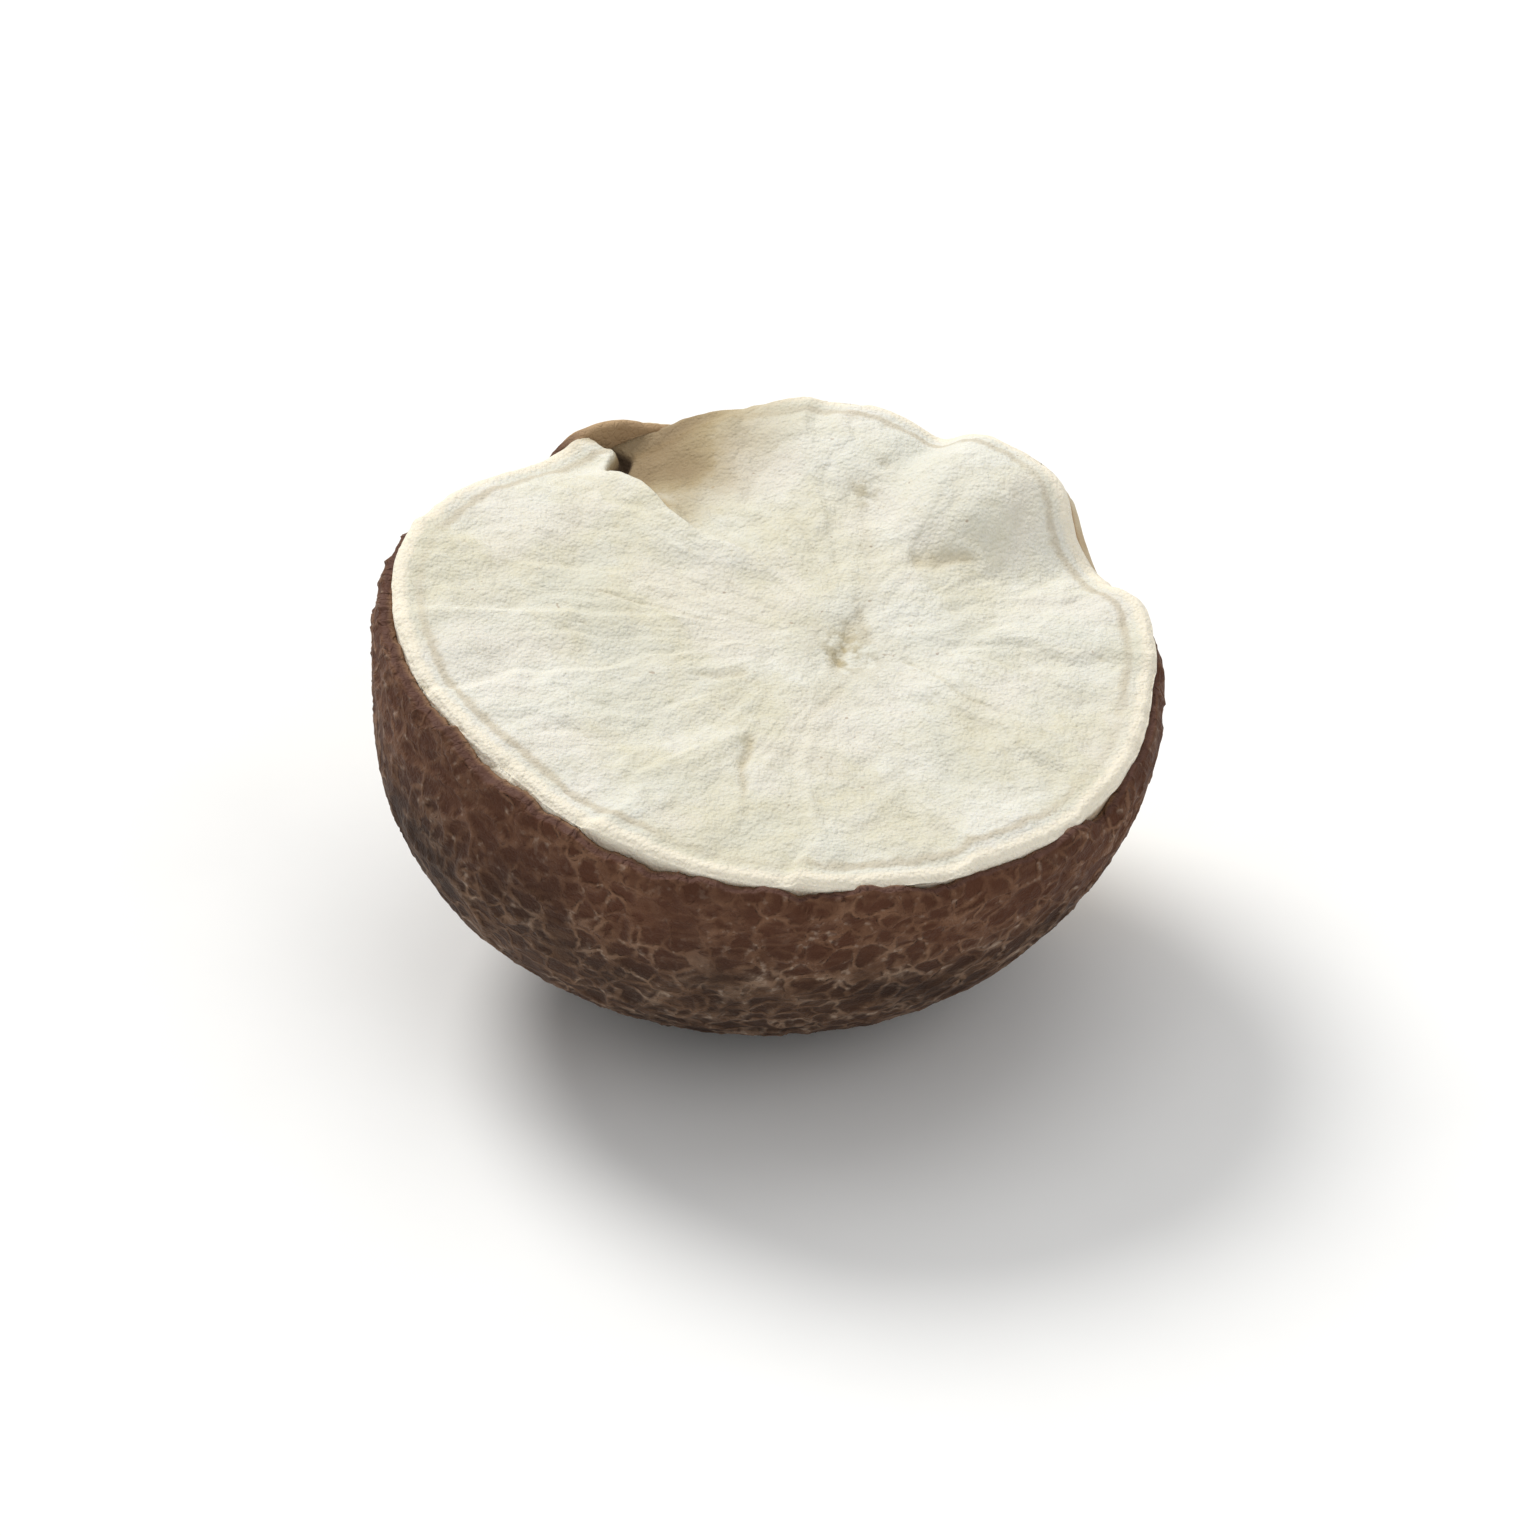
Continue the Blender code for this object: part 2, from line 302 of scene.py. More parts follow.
@dataclass(frozen=True)
class Crack:
    """A narrow crack in the face, wider where it starts."""

    start: Pair
    end: Pair
    depth: float
    half_width: float
    opening: Pair = (-0.02, 0.12)
    closing: Pair = (1.02, 0.7)
    start_width: float = 1.25
    narrowing: float = 0.6

    def at(self, place: Array, sway: Array) -> Array:
        """Work out the depth.

        Args:
            place: points of the face seen from above.
            sway: how far noise pushes the crack aside there.

        Returns:
            Depth at each place.
        """
        run = np.array(self.end) - np.array(self.start)
        length = float(np.hypot(*run))
        off = place - np.array(self.start)
        along = off @ run / length**2
        across = off @ np.array((-run[1], run[0])) / length + sway
        ends = rise(along, *self.opening) * rise(along, *self.closing)
        width = self.half_width * (self.start_width - self.narrowing * np.clip(along, 0.0, 1.0))
        return self.depth * ends * bell(across, width)


@dataclass(frozen=True)
class Facets:
    """Saw-tooth facets of uneven width that fan out from a middle."""

    count: int
    seed: int
    step: float
    height: float
    widths: Pair = (0.6, 1.5)
    heights: Pair = (0.2, 1.0)

    def at(self, azimuth: Array) -> Array:
        """Work out the height of the facets.

        Args:
            azimuth: headings from the middle.

        Returns:
            Height for each heading.
        """
        random = np.random.default_rng(self.seed)
        widths = random.uniform(*self.widths, self.count)
        edges = np.concatenate(((0.0,), np.cumsum(widths))) * 360.0 / widths.sum()
        highs = random.uniform(*self.heights, self.count)
        lows = -random.uniform(*self.heights, self.count)
        places = np.stack((edges[:-1] + self.step, edges[1:]), axis=1).ravel()
        heights = np.stack((highs, lows), axis=1).ravel()
        return self.height * np.interp(azimuth % 360.0, places, heights, period=360.0)


class Mark(Enum):
    """What the meshes tell their finishes at every point."""

    RIDGE = "ridge"
    NEAR_RIM = "near_rim"
    CAP = "cap"
    SCAR = "scar"
    BROKEN_EDGE = "broken_edge"
    RIND = "rind"
    # depth of cracks and pits, which the finish paints as shade
    CRACK_SHADE = "crack"
    # painted shade in the creases between puffs and along the foot of the fold
    CREASE = "crease"
    # tan stain round the heart, and painted shade in the pockets
    STAIN_AND_SHADE = "stain_and_pocket_shade"
    # tan of the skin bared beside the fold, partly painted shade; darker painted shade nearest the fold and
    # in the gap
    BARED = "bared"
    SMOOTH = "smooth"


Marks = dict[Mark, Array]


@dataclass(frozen=True)
class Seed:
    """The whole seed as it was before it split.

    Each pressed place has an azimuth, an elevation, a depth and a half angle, and each pinch of
    the rim has the height over the seed's middle where it starts.
    """

    half_width: float = 4.50
    half_depth: float = 4.42
    half_height: float = 4.42
    squareness: float = 2.10
    spot_radius: float = 1.10
    spot_columns: int = 112
    spot_guess: float = -80.0
    coat_thickness: float = 0.18
    pressed_places: tuple[tuple[float, float, float, float], ...] = (
        (200.0, -24.0, -0.13, 30.0),
        (-34.0, -6.0, -0.08, 26.0),
        (108.0, -12.0, 0.10, 32.0),
    )
    pinches: tuple[tuple[Swell, float], ...] = (
        (Swell(27.0, 0.44, 9.0), -1.3),
        (Swell(139.0, 0.28, 15.0), -1.2),
        (Swell(221.0, 0.42, 34.0), -1.8),
    )
    pinch_top: float = 0.2
    ridge_room: float = 0.03
    thick_side: Swell = Swell(214.0, 1.0, 36.0)

    def radius(self, azimuth: Array, elevation: Array) -> Array:
        """Work out where the plain outside of the coat lies.

        Args:
            azimuth: headings from the seed's middle.
            elevation: elevations from it.

        Returns:
            Distances from the seed's middle.
        """
        towards = direction(azimuth, elevation)
        half_sizes = np.array((self.half_width, self.half_depth, self.half_height))
        folded = np.sum((np.abs(towards) / half_sizes) ** self.squareness, axis=-1)
        radius = folded ** (-1.0 / self.squareness)
        for place_azimuth, place_elevation, depth, half_angle in self.pressed_places:
            radius -= depth * bell(angle_from(towards, place_azimuth, place_elevation), half_angle)
        height = radius * towards[..., 2]
        for pinch, bottom in self.pinches:
            radius = radius - pinch.at(azimuth) * rise(height, bottom, self.pinch_top)
        return radius - self.ridge_room

    @cached_property
    def middle_height(self) -> float:
        """Height of the seed's middle above the flat spot.

        Returns:
            The height at which the outside is cut off by the spot at its widest.
        """
        azimuth = azimuths(self.spot_columns)
        elevation = np.full_like(azimuth, self.spot_guess)
        for _ in range(SETTLING_ROUNDS):
            radius = self.radius(azimuth, elevation)
            elevation = -np.degrees(np.arccos(self.spot_radius / radius))
        return float(np.max(-radius * np.sin(np.radians(elevation))))

    @property
    def spot_elevation(self) -> float:
        """Elevation of the edge of the flat spot."""
        return math.degrees(math.atan2(-self.middle_height, self.spot_radius))

    def points(self, azimuth: Array, elevation: Array, radius: Array) -> Array:
        """Find points in the frame of the part.

        Args:
            azimuth: headings from the seed's middle.
            elevation: elevations from it.
            radius: distances from it.

        Returns:
            The points.
        """
        points = direction(azimuth, elevation) * radius[..., None]
        points[..., 2] += self.middle_height
        return points

    def waist(self, azimuth: Array) -> Array:
        """Places level with the seed's middle, where the noise along a rim is read."""
        return direction(azimuth, 0.0) * self.half_width


@dataclass(frozen=True)
class Break:
    """The rough face where the seed split.

    It slopes, and its relief fans out from a middle. Past the fold, which is steep, it sinks by a
    depth that fades over some angles and starts over some reach. The flap left of the fold slumps
    towards the rim, and right of it the tan skin is bared.
    """

    slope: Pair = (-0.098, 0.098)
    fan_middle: Pair = (0.80, 0.20)
    lumps: tuple[Mound, ...] = (
        Mound((2.55, 2.60), (1.15, 0.95), 0.46, 1.25),
        Mound((0.85, 3.45), (0.85, 0.80), 0.16, 1.25),
    )
    valleys: tuple[Valley, ...] = (
        Valley(33.0, 0.34, 0.50, (1.0, 3.3)),
        Valley(73.5, 0.16, 0.26, (1.5, 3.6)),
    )
    fold_azimuth: float = 128.0
    fold_half_angle: float = 1.2
    fold_swing: float = 8.0
    swing_start: Pair = (1.3, 2.2)
    swing_end: Pair = (4.15, 3.7)
    sinks: tuple[tuple[float, Pair, Pair], ...] = (
        (0.20, (26.0, 3.0), (2.9, 4.1)),
        (0.24, (46.0, 4.0), (0.5, 3.4)),
    )
    slump: Swell = Swell(134.0, 0.42, 13.0)
    slump_reach: Pair = (2.9, 4.4)
    slump_past_fold: float = 0.4
    sway: float = 2.2
    sway_pace: float = 2.1
    sway_start: float = 0.6

    def height(self, place: Array) -> Array:
        """Work out the height without the fine relief.

        Args:
            place: places seen from above.

        Returns:
            Height over the seed's middle.
        """
        azimuth, reach = self.around_fan(place)
        height = place @ np.array(self.slope) + sum(lump.at(place) for lump in self.lumps)
        height -= sum(valley.at(azimuth, reach) for valley in self.valleys)
        past_fold = self.past_fold(azimuth, reach)
        dent = rise(past_fold, -self.fold_half_angle, self.fold_half_angle)
        slump = self.slump.at(azimuth) * (1.0 - (1.0 - self.slump_past_fold) * dent)
        height -= slump * rise(reach, *self.slump_reach)
        for depth, fade, start in self.sinks:
            height -= depth * (dent * rise(past_fold, *fade)) * rise(reach, *start)
        return height

    def past_fold(self, azimuth: Array, reach: Array) -> Array:
        """Angle past the fold, which swings aside on its way out, and is positive towards the dent."""
        swing = rise(reach, *self.swing_start) * rise(reach, *self.swing_end)
        return wrapped(self.fold_azimuth + self.fold_swing * swing - azimuth)

    def around_fan(self, place: Array) -> tuple[Array, Array]:
        """Headings and distances from the middle of the fan, whose rays sway a little."""
        azimuth, reach = polar(place - np.array(self.fan_middle))
        return azimuth + self.sway * np.sin(self.sway_pace * reach + self.sway_start), reach

    def rim_elevation(self, seed: Seed, azimuth: Array, inset: Array | float, drop: Array | float) -> Array:
        """Find where a surface of the seed meets the break.

        Args:
            seed: the whole seed.
            azimuth: headings from the seed's middle.
            inset: how far the surface lies inside the coat's plain outside.
            drop: how far below the break the surface ends.

        Returns:
            Elevations.
        """
        elevation, out = np.zeros_like(azimuth), direction(azimuth, 0.0)[..., :2]
        for _ in range(SETTLING_ROUNDS):
            across = (seed.radius(azimuth, elevation) - inset) * np.cos(np.radians(elevation))
            height = self.height(out * across[..., None]) - drop
            elevation = np.degrees(np.arctan2(height, across))
        return elevation


def ring_mesh(name: str, rings: Array, marks: Marks, finish: bpy.types.Material) -> bpy.types.Object:
    """Skin a stack of rings of points, closed by a point at each end.

    Args:
        name: name of the object.
        rings: points in millimetres, as ring, place round it and coordinate. All points of the
            first ring and of the last ring are the same.
        marks: what the finish reads, one number for each point.
        finish: material of the object.

    Returns:
        The object, linked to the scene.
    """
    count, columns = rings.shape[:2]
    inner = rings[1:-1].reshape(-1, 3)
    points = np.concatenate((rings[0, :1], inner, rings[-1, :1])) * MM
    place = 1 + np.arange((count - 2) * columns).reshape(count - 2, columns)
    after = np.roll(place, -1, axis=1)
    quads = np.stack((place[:-1], after[:-1], after[1:], place[1:]), axis=-1).reshape(-1, 4)
    low = np.stack((np.zeros(columns, int), after[0], place[0]), axis=-1)
    high = np.stack((np.full(columns, len(points) - 1), place[-1], after[-1]), axis=-1)
    mesh = bpy.data.meshes.new(name)
    mesh.from_pydata(points.tolist(), [], low.tolist() + quads.tolist() + high.tolist())
    for mark, values in marks.items():
        flat = np.concatenate((values[0, :1], values[1:-1].ravel(), values[-1, :1]))
        layer = mesh.attributes.new(mark.value, "FLOAT", "POINT")
        layer.data.foreach_set("value", flat.astype(np.float32))
    mesh.shade_smooth()
    mesh.validate()
    mesh.materials.append(finish)
    piece = bpy.data.objects.new(name, mesh)
    bpy.context.scene.collection.objects.link(piece)
    return piece


@dataclass(frozen=True)
class FaceGrid:
    """Points of the kernel's face seen from above, and how they lie.

    The azimuth is that of each point's place on the rim, the share of the way out is 0 in the
    middle and 1 at the rim, and broken and stirred say how much of the relief shows.
    """

    place: Array
    azimuth: Array
    share: Array
    from_rim: Array
    broken: Array
    stirred: Array

    @cached_property
    def flat(self) -> Array:
        """The points with a height of 0, where the noise is read."""
        return np.concatenate((self.place, np.zeros_like(self.place[..., :1])), axis=-1)

    @property
    def inner(self) -> Array:
        """How much of the coarse relief shows, which is a little on the rind too."""
        return ON_RIND + (1.0 - ON_RIND) * self.broken


@dataclass(frozen=True)
class Kernel:
    """The white kernel: its broken face and the rind round it."""

    seed: Seed
    fracture: Break
    finish: "StarchFinish"
    name: str = "kernel_half"
    inset: float = 0.192
    rim_flare: float = 0.070
    rim_flare_angle: float = 0.9
    bare_side: Swell = Swell(14.0, 0.085, 17.0)
    nibbles: Grain = Grain(14, 0.9, 4, 0.6)
    nibbled: float = 0.035
    nibbled_more: float = 0.25
    side_top: float = 0.985
    side_crowding: float = 1.8
    face_crowding: float = 0.35

    heart: Pair = (0.90, -0.15)
    wander: Grain = Grain(3, 1.5, 2, height=6.0)
    shiver: Grain = Grain(4, 0.8, shift=60.0, height=5.0)
    main_facets: Facets = Facets(13, 11, 3.0, 0.060)
    main_facet_bend: float = 0.7
    main_facet_share: Pair = (0.1, 0.9)
    side_facets: Facets = Facets(29, 12, 1.2, 0.010)
    side_facet_reach: Pair = (0.7, 2.4)
    side_facet_patches: Grain = Grain(3, 1.1, shift=31.0)
    side_facet_level: Pair = (-0.25, 0.35)
    streaks: Grain = Grain(5, 0.42, 3, 0.6, height=0.008)
    streak_space: Pair = (4.0, 0.16)
    streak_reach: Pair = (0.3, 1.8)
    feathered: Swell = Swell(150.0, 1.2, 28.0)
    petals: Grain = Grain(5, 1.25, 2, 0.45, folded=True)
    petal_space: Pair = (3.0, 0.40)
    petal_reach: Pair = (0.4, 2.0)
    petal_height: float = 0.045
    calm: Mound = Mound((1.9, 2.7), (1.1, 1.3), 1.0)
    calmed: float = 0.9

    puffs: Grain = Grain(3, 1.05, 3, 0.45, folded=True)
    puff_bend: Grain = Grain(3, 0.9, height=0.25)
    puff_height: float = 0.055
    bulge_level: float = 0.35
    crease_level: float = 1.0 / 3.0
    swellings: Grain = Grain(3, 1.3, 2, shift=5.0, height=0.050)
    crumbs: Grain = Grain(4, 0.30, 3, 0.65, height=0.014)
    rind_crumbs: float = 0.35
    pits: Grain = Grain(6, 0.16, 2)
    pit_level: Pair = (0.55, 0.95)
    pit_depth: float = 0.012

    fold_lip: Strip = Strip(Bump(0.045, 0.15, 0.16), (0.8, 2.0))
    fold_gap: Strip = Strip(Bump(1.0, 0.085, -0.085), (2.7, 3.3))
    fold_gap_depth: float = 0.14
    # how far the gap beside the fold pushes the mark into the near-black painted shade
    gap_painted_dark: float = 1.2
    # painted shade along the foot of the fold, as a strip beside it
    fold_foot_shade: Strip = Strip(Bump(1.3, 0.075, -0.09), (1.0, 1.8))
    bared_start: Pair = (-1.6, 0.6)
    bared_end: Pair = (44.0, 6.0)
    bared_reach: Pair = (2.0, 3.8)
    bared_ragged: Grain = Grain(3, 0.6, shift=8.0, height=0.5)
    clinging: Swell = Swell(119.5, 0.55, 3.6)
    clinging_width: Pair = (0.20, 0.06)
    clinging_ragged: Grain = Grain(4, 0.2, height=0.06)

    hollow: Bump = Bump(0.07, 0.60)
    pockets: tuple[Mound, ...] = (
        Mound((1.08, 2.55), (0.20, 0.26), 0.09),
        Mound((1.30, 2.95), (0.14, 0.12), 0.05),
        Mound((-2.69, -1.39), (0.24, 0.10), 0.03),
        Mound((0.80, -0.05), (0.17, 0.40), 0.045),
        Mound((1.02, 0.32), (0.12, 0.30), 0.030),
    )
    pocket_rough: Grain = Grain(4, 0.3, height=0.8)
    bulge: Mound = Mound((1.95, 1.95), (0.60, 0.42), 0.06)
    cracks: tuple[Crack, ...] = (
        Crack((-0.24, -1.72), (-0.31, -2.95), 0.050, 0.060),
        Crack((0.78, -0.65), (0.42, -1.50), 0.020, 0.050),
        Crack((0.90, 0.46), (0.70, -0.50), 0.048, 0.080),
        Crack((1.00, 0.66), (1.10, 0.02), 0.030, 0.060),
        Crack((1.10, 0.45), (1.20, 2.30), 0.018, 0.120),
        Crack((1.58, 1.50), (2.45, 1.50), 0.050, 0.100),
        Crack((1.45, -0.20), (2.70, -1.05), 0.018, 0.030),
        Crack((-0.60, 0.20), (-2.40, 0.60), 0.016, 0.030),
        Crack((-0.20, -0.72), (-1.00, -0.80), 0.026, 0.055),
    )
    crack_shiver: Grain = Grain(4, 0.45, height=0.05)
    crack_sway: Grain = Grain(3, 0.9, shift=3.0, height=0.16)
    full_crack: float = 0.10
    # how much the pits add to the painted shade of the cracks
    pit_shade: float = 0.2
    # painted shade in the pockets, in step with their depth
    pocket_shade: float = 8.0
    heart_stain: Bump = Bump(0.7, 0.42)

    broken_start: Pair = (0.12, 0.32)
    rind_end: Pair = (0.28, 0.12)
    rind_height: float = 0.020
    chips: Grain = Grain(4, 0.4, 2, shift=50.0)
    chip_level: Pair = (0.15, 0.8)
    chipped: Bump = Bump(0.045, 0.12)
    worn: Bump = Bump(0.06, 0.045)

    columns: int = 720
    side_rings: int = 15
    face_rings: int = 115

    @cached_property
    def azimuth(self) -> Array:
        """Heading of every column."""
        return azimuths(self.columns)

    @cached_property
    def rim_inset(self) -> Array:
        """How far the rim lies inside the coat's plain outside, in every column.

        Returns:
            The insets.
        """
        flare = self.rim_flare * (1.0 - self.seed.thick_side.at(self.azimuth))
        nibbled = self.nibbles.at(self.seed.waist(self.azimuth)) + self.nibbled_more
        inset = self.inset - (flare + self.bare_side.at(self.azimuth))
        return inset + self.nibbled * np.clip(nibbled, 0.0, None)

    @cached_property
    def rim(self) -> Array:
        """Elevation of the rim in every column."""
        return self.fracture.rim_elevation(self.seed, self.azimuth, self.rim_inset, self.worn.height)

    def build(self) -> bpy.types.Object:
        """Make the kernel and give it its finish.

        Returns:
            The dressed piece.
        """
        face, marks = self.face()
        side, from_rim = self.side()
        for mark, values in marks.items():
            below = from_rim if mark is Mark.RIND else np.zeros_like(from_rim)
            marks[mark] = np.concatenate((below, values))
        return ring_mesh(self.name, np.concatenate((side, face)), marks, self.finish.make())

    def side(self) -> tuple[Array, Array]:
        """Lay rings up the outside of the kernel, closer together towards the rim.

        Returns:
            The rings from the bottom to just below the rim, and their distances from the rim,
            which are negative.
        """
        left = 1.0 - np.linspace(0.0, self.side_top, self.side_rings)[:, None]
        elevation = -90.0 + (self.rim + 90.0) * (1.0 - left**self.side_crowding)
        heading = np.broadcast_to(self.azimuth, elevation.shape)
        flared = (self.inset - self.rim_inset) * bell(self.rim - elevation, self.rim_flare_angle)
        radius = self.seed.radius(heading, elevation) - self.inset + flared
        return self.seed.points(heading, elevation, radius), np.radians(elevation - self.rim) * radius

    def face(self) -> tuple[Array, Marks]:
        """Lay rings over the broken face, from the rim to the middle of its fan.

        Returns:
            The rings and their marks.
        """
        rim_radius = self.seed.radius(self.azimuth, self.rim) - self.rim_inset
        rim_points = self.seed.points(self.azimuth, self.rim, rim_radius)
        middle = np.array(self.fracture.fan_middle)
        step = np.linspace(0.0, 1.0, self.face_rings)[:, None]
        share = 1.0 - step * (self.face_crowding + (1.0 - self.face_crowding) * step)
        out = rim_points[:, :2] - middle
        place = middle + out * share[..., None]
        from_rim = polar(out)[1] * (1.0 - share)
        calm = self.calm.at(place)
        grid = FaceGrid(
            place=place,
            azimuth=np.broadcast_to(self.azimuth, from_rim.shape),
            share=share,
            from_rim=from_rim,
            broken=rise(from_rim, *self.broken_start),
            stirred=1.0 - self.calmed * calm,
        )
        fan, petals = self.fan_relief(grid)
        rough, puffs, pits = self.rough_relief(grid)
        fold, foot, bared = self.fold_relief(grid)
        torn, crack, stain_and_pocket_shade = self.torn_relief(grid)
        relief = fan + rough + fold + torn + self.rim_relief(grid)
        height = self.fracture.height(place) + relief + self.seed.middle_height
        # how deep each point lies in the creases between puffs and petals, where shade is painted
        creases = np.clip(1.0 - np.minimum(puffs, petals) / self.crease_level, 0.0, 1.0)
        marks = {
            Mark.RIND: from_rim,
            # cracks and pits, painted darker as shade
            Mark.CRACK_SHADE: np.clip(crack / self.full_crack + self.pit_shade * pits, 0.0, 1.0),
            Mark.CREASE: np.clip(creases * grid.broken * grid.stirred + foot, 0.0, 1.0),
            Mark.STAIN_AND_SHADE: stain_and_pocket_shade,
            Mark.BARED: bared,
            Mark.SMOOTH: calm,
        }
        return np.concatenate((place, height[..., None]), axis=-1), marks

    def fan_relief(self, grid: FaceGrid) -> tuple[Array, Array]:
        """Work out the facets, streaks and petals that fan out over the face.

        Args:
            grid: points of the face.

        Returns:
            Their height, and the petals alone, which are 0 in the creases between them.
        """
        wander = self.wander.at(grid.flat)
        bend = self.main_facet_bend * wander + self.shiver.at(grid.flat)
        heading, reach = polar(grid.place - np.array(self.heart))
        heading = heading + wander
        main = self.main_facets.at(grid.azimuth + bend) * rise(grid.share, *self.main_facet_share)
        patchy = rise(self.side_facet_patches.at(grid.flat), *self.side_facet_level)
        side = self.side_facets.at(heading) * rise(reach, *self.side_facet_reach) * patchy
        streaks = self.streaks.at(self.fanned(heading, reach, *self.streak_space))
        streaks *= rise(reach, *self.streak_reach) * (1.0 + self.feathered.at(heading))
        petals = self.petals.at(self.fanned(heading, reach, *self.petal_space))
        leaves = self.petal_height * (petals - self.bulge_level) * rise(reach, *self.petal_reach)
        broad = main * grid.stirred + leaves * grid.inner * grid.stirred
        return broad + (side + streaks) * grid.broken, petals

    @staticmethod
    def fanned(heading: Array, reach: Array, radius: float, pace: float) -> Array:
        """Places on a ring that moves on with the reach, where noise is drawn out along the rays."""
        turn = np.radians(heading)
        return np.stack((radius * np.cos(turn), radius * np.sin(turn), pace * reach), axis=-1)

    def rough_relief(self, grid: FaceGrid) -> tuple[Array, Array, Array]:
        """Work out the puffs, swellings, crumbs and pits of the broken starch.

        Args:
            grid: points of the face.

        Returns:
            Their height, the puffs alone and the pits alone.
        """
        puffs = self.puffs.at(grid.flat + self.puff_bend.at(grid.flat)[..., None])
        soft = self.puff_height * (puffs - self.bulge_level) + self.swellings.at(grid.flat)
        crumbs = self.crumbs.at(grid.flat) * (self.rind_crumbs + (1.0 - self.rind_crumbs) * grid.broken)
        pits = rise(self.pits.at(grid.flat), *self.pit_level) * grid.broken
        return soft * grid.inner + crumbs - self.pit_depth * pits, puffs, pits

    def fold_relief(self, grid: FaceGrid) -> tuple[Array, Array, Array]:
        """Work out the lip of the fold, the gap beside it and the skin that is bared there.

        Args:
            grid: points of the face.

        Returns:
            Height, how much painted shade lies along the foot of the fold, and how far the skin is bared,
            which is more than 1 down in the gap, where it is painted dark as shade.
        """
        azimuth, reach = self.fracture.around_fan(grid.place)
        past_fold = self.fracture.past_fold(azimuth, reach)
        off_fold = -reach * np.radians(past_fold)
        gap = self.fold_gap.at(off_fold, reach)
        relief = self.fold_lip.at(off_fold, reach) - self.fold_gap_depth * gap
        bared = rise(past_fold, *self.bared_start) * rise(past_fold, *self.bared_end)
        bared *= rise(reach + self.bared_ragged.at(grid.flat), *self.bared_reach)
        from_rim = grid.from_rim + self.clinging_ragged.at(grid.flat)
        clinging = self.clinging.at(grid.azimuth) * rise(from_rim, *self.clinging_width)
        foot = self.fold_foot_shade.at(off_fold, reach)
        return relief, foot, np.maximum(bared, clinging) + self.gap_painted_dark * gap

    def torn_relief(self, grid: FaceGrid) -> tuple[Array, Array, Array]:
        """Work out the hollow, the pockets, the bulge and the cracks.

        Args:
            grid: points of the face.

        Returns:
            Height, the depth of the cracks, and from 0 to 1 how stained the starch is round the heart and how
            much painted shade lies in the pockets.
        """
        sway = self.crack_shiver.at(grid.flat) + self.crack_sway.at(grid.flat)
        crack = np.maximum.reduce([crack.at(grid.place, sway) for crack in self.cracks])
        pocket = sum(pocket.at(grid.place) for pocket in self.pockets)
        reach = polar(grid.place - np.array(self.heart))[1]
        relief = self.bulge.at(grid.place) - crack - pocket * (1.0 + self.pocket_rough.at(grid.flat))
        # pockets are painted darker as shade in step with their depth; round the heart the starch is stained
        # tan
        stain_and_pocket_shade = self.pocket_shade * pocket + self.heart_stain.at(reach)
        return relief - self.hollow.at(reach), crack, np.clip(stain_and_pocket_shade, 0.0, 1.0)

    def rim_relief(self, grid: FaceGrid) -> Array:
        """Work out the rind, which stands a little proud, is chipped and worn round at its edge.

        Args:
            grid: points of the face.

        Returns:
            Height.
        """
        rind = self.rind_height * rise(grid.from_rim, *self.rind_end)
        chips = rise(self.chips.at(grid.flat), *self.chip_level) * self.chipped.at(grid.from_rim)
        return rind - chips - self.worn.at(grid.from_rim)


@dataclass(frozen=True)
class Cap:
    """The pale cap with the scar where the seed hung in its fruit."""

    azimuth: float = 75.0
    elevation: float = -25.0
    half_angle: float = 54.0
    edge: Grain = Grain(9, 0.9, 3, shift=90.0, height=1.6)
    edge_fade: Pair = (2.0, -3.0)
    lip: Bump = Bump(0.06, 3.2)
    wrinkles: float = 0.12
    scar_lip: Bump = Bump(0.09, 3.0, 13.5)
    scar_side: Pair = (13.5, 8.5)
    scar_depth: float = 0.10
    pip: Bump = Bump(0.09, 3.6)

    def inside(self, towards: Array, ball: Array) -> tuple[Array, Array]:
        """Angles from the middle of the scar, and angles inside the ragged edge of the cap."""
        from_scar = angle_from(towards, self.azimuth, self.elevation)
        return from_scar, self.half_angle - from_scar - self.edge.at(ball)

    def relief(self, from_scar: Array, inside: Array) -> Array:
        """Height of the lip round the cap, the scar and the pip in it, at those two angles."""
        relief = self.lip.at(inside) + self.scar_lip.at(from_scar) + self.pip.at(from_scar)
        return relief - self.scar_depth * rise(from_scar, *self.scar_side)


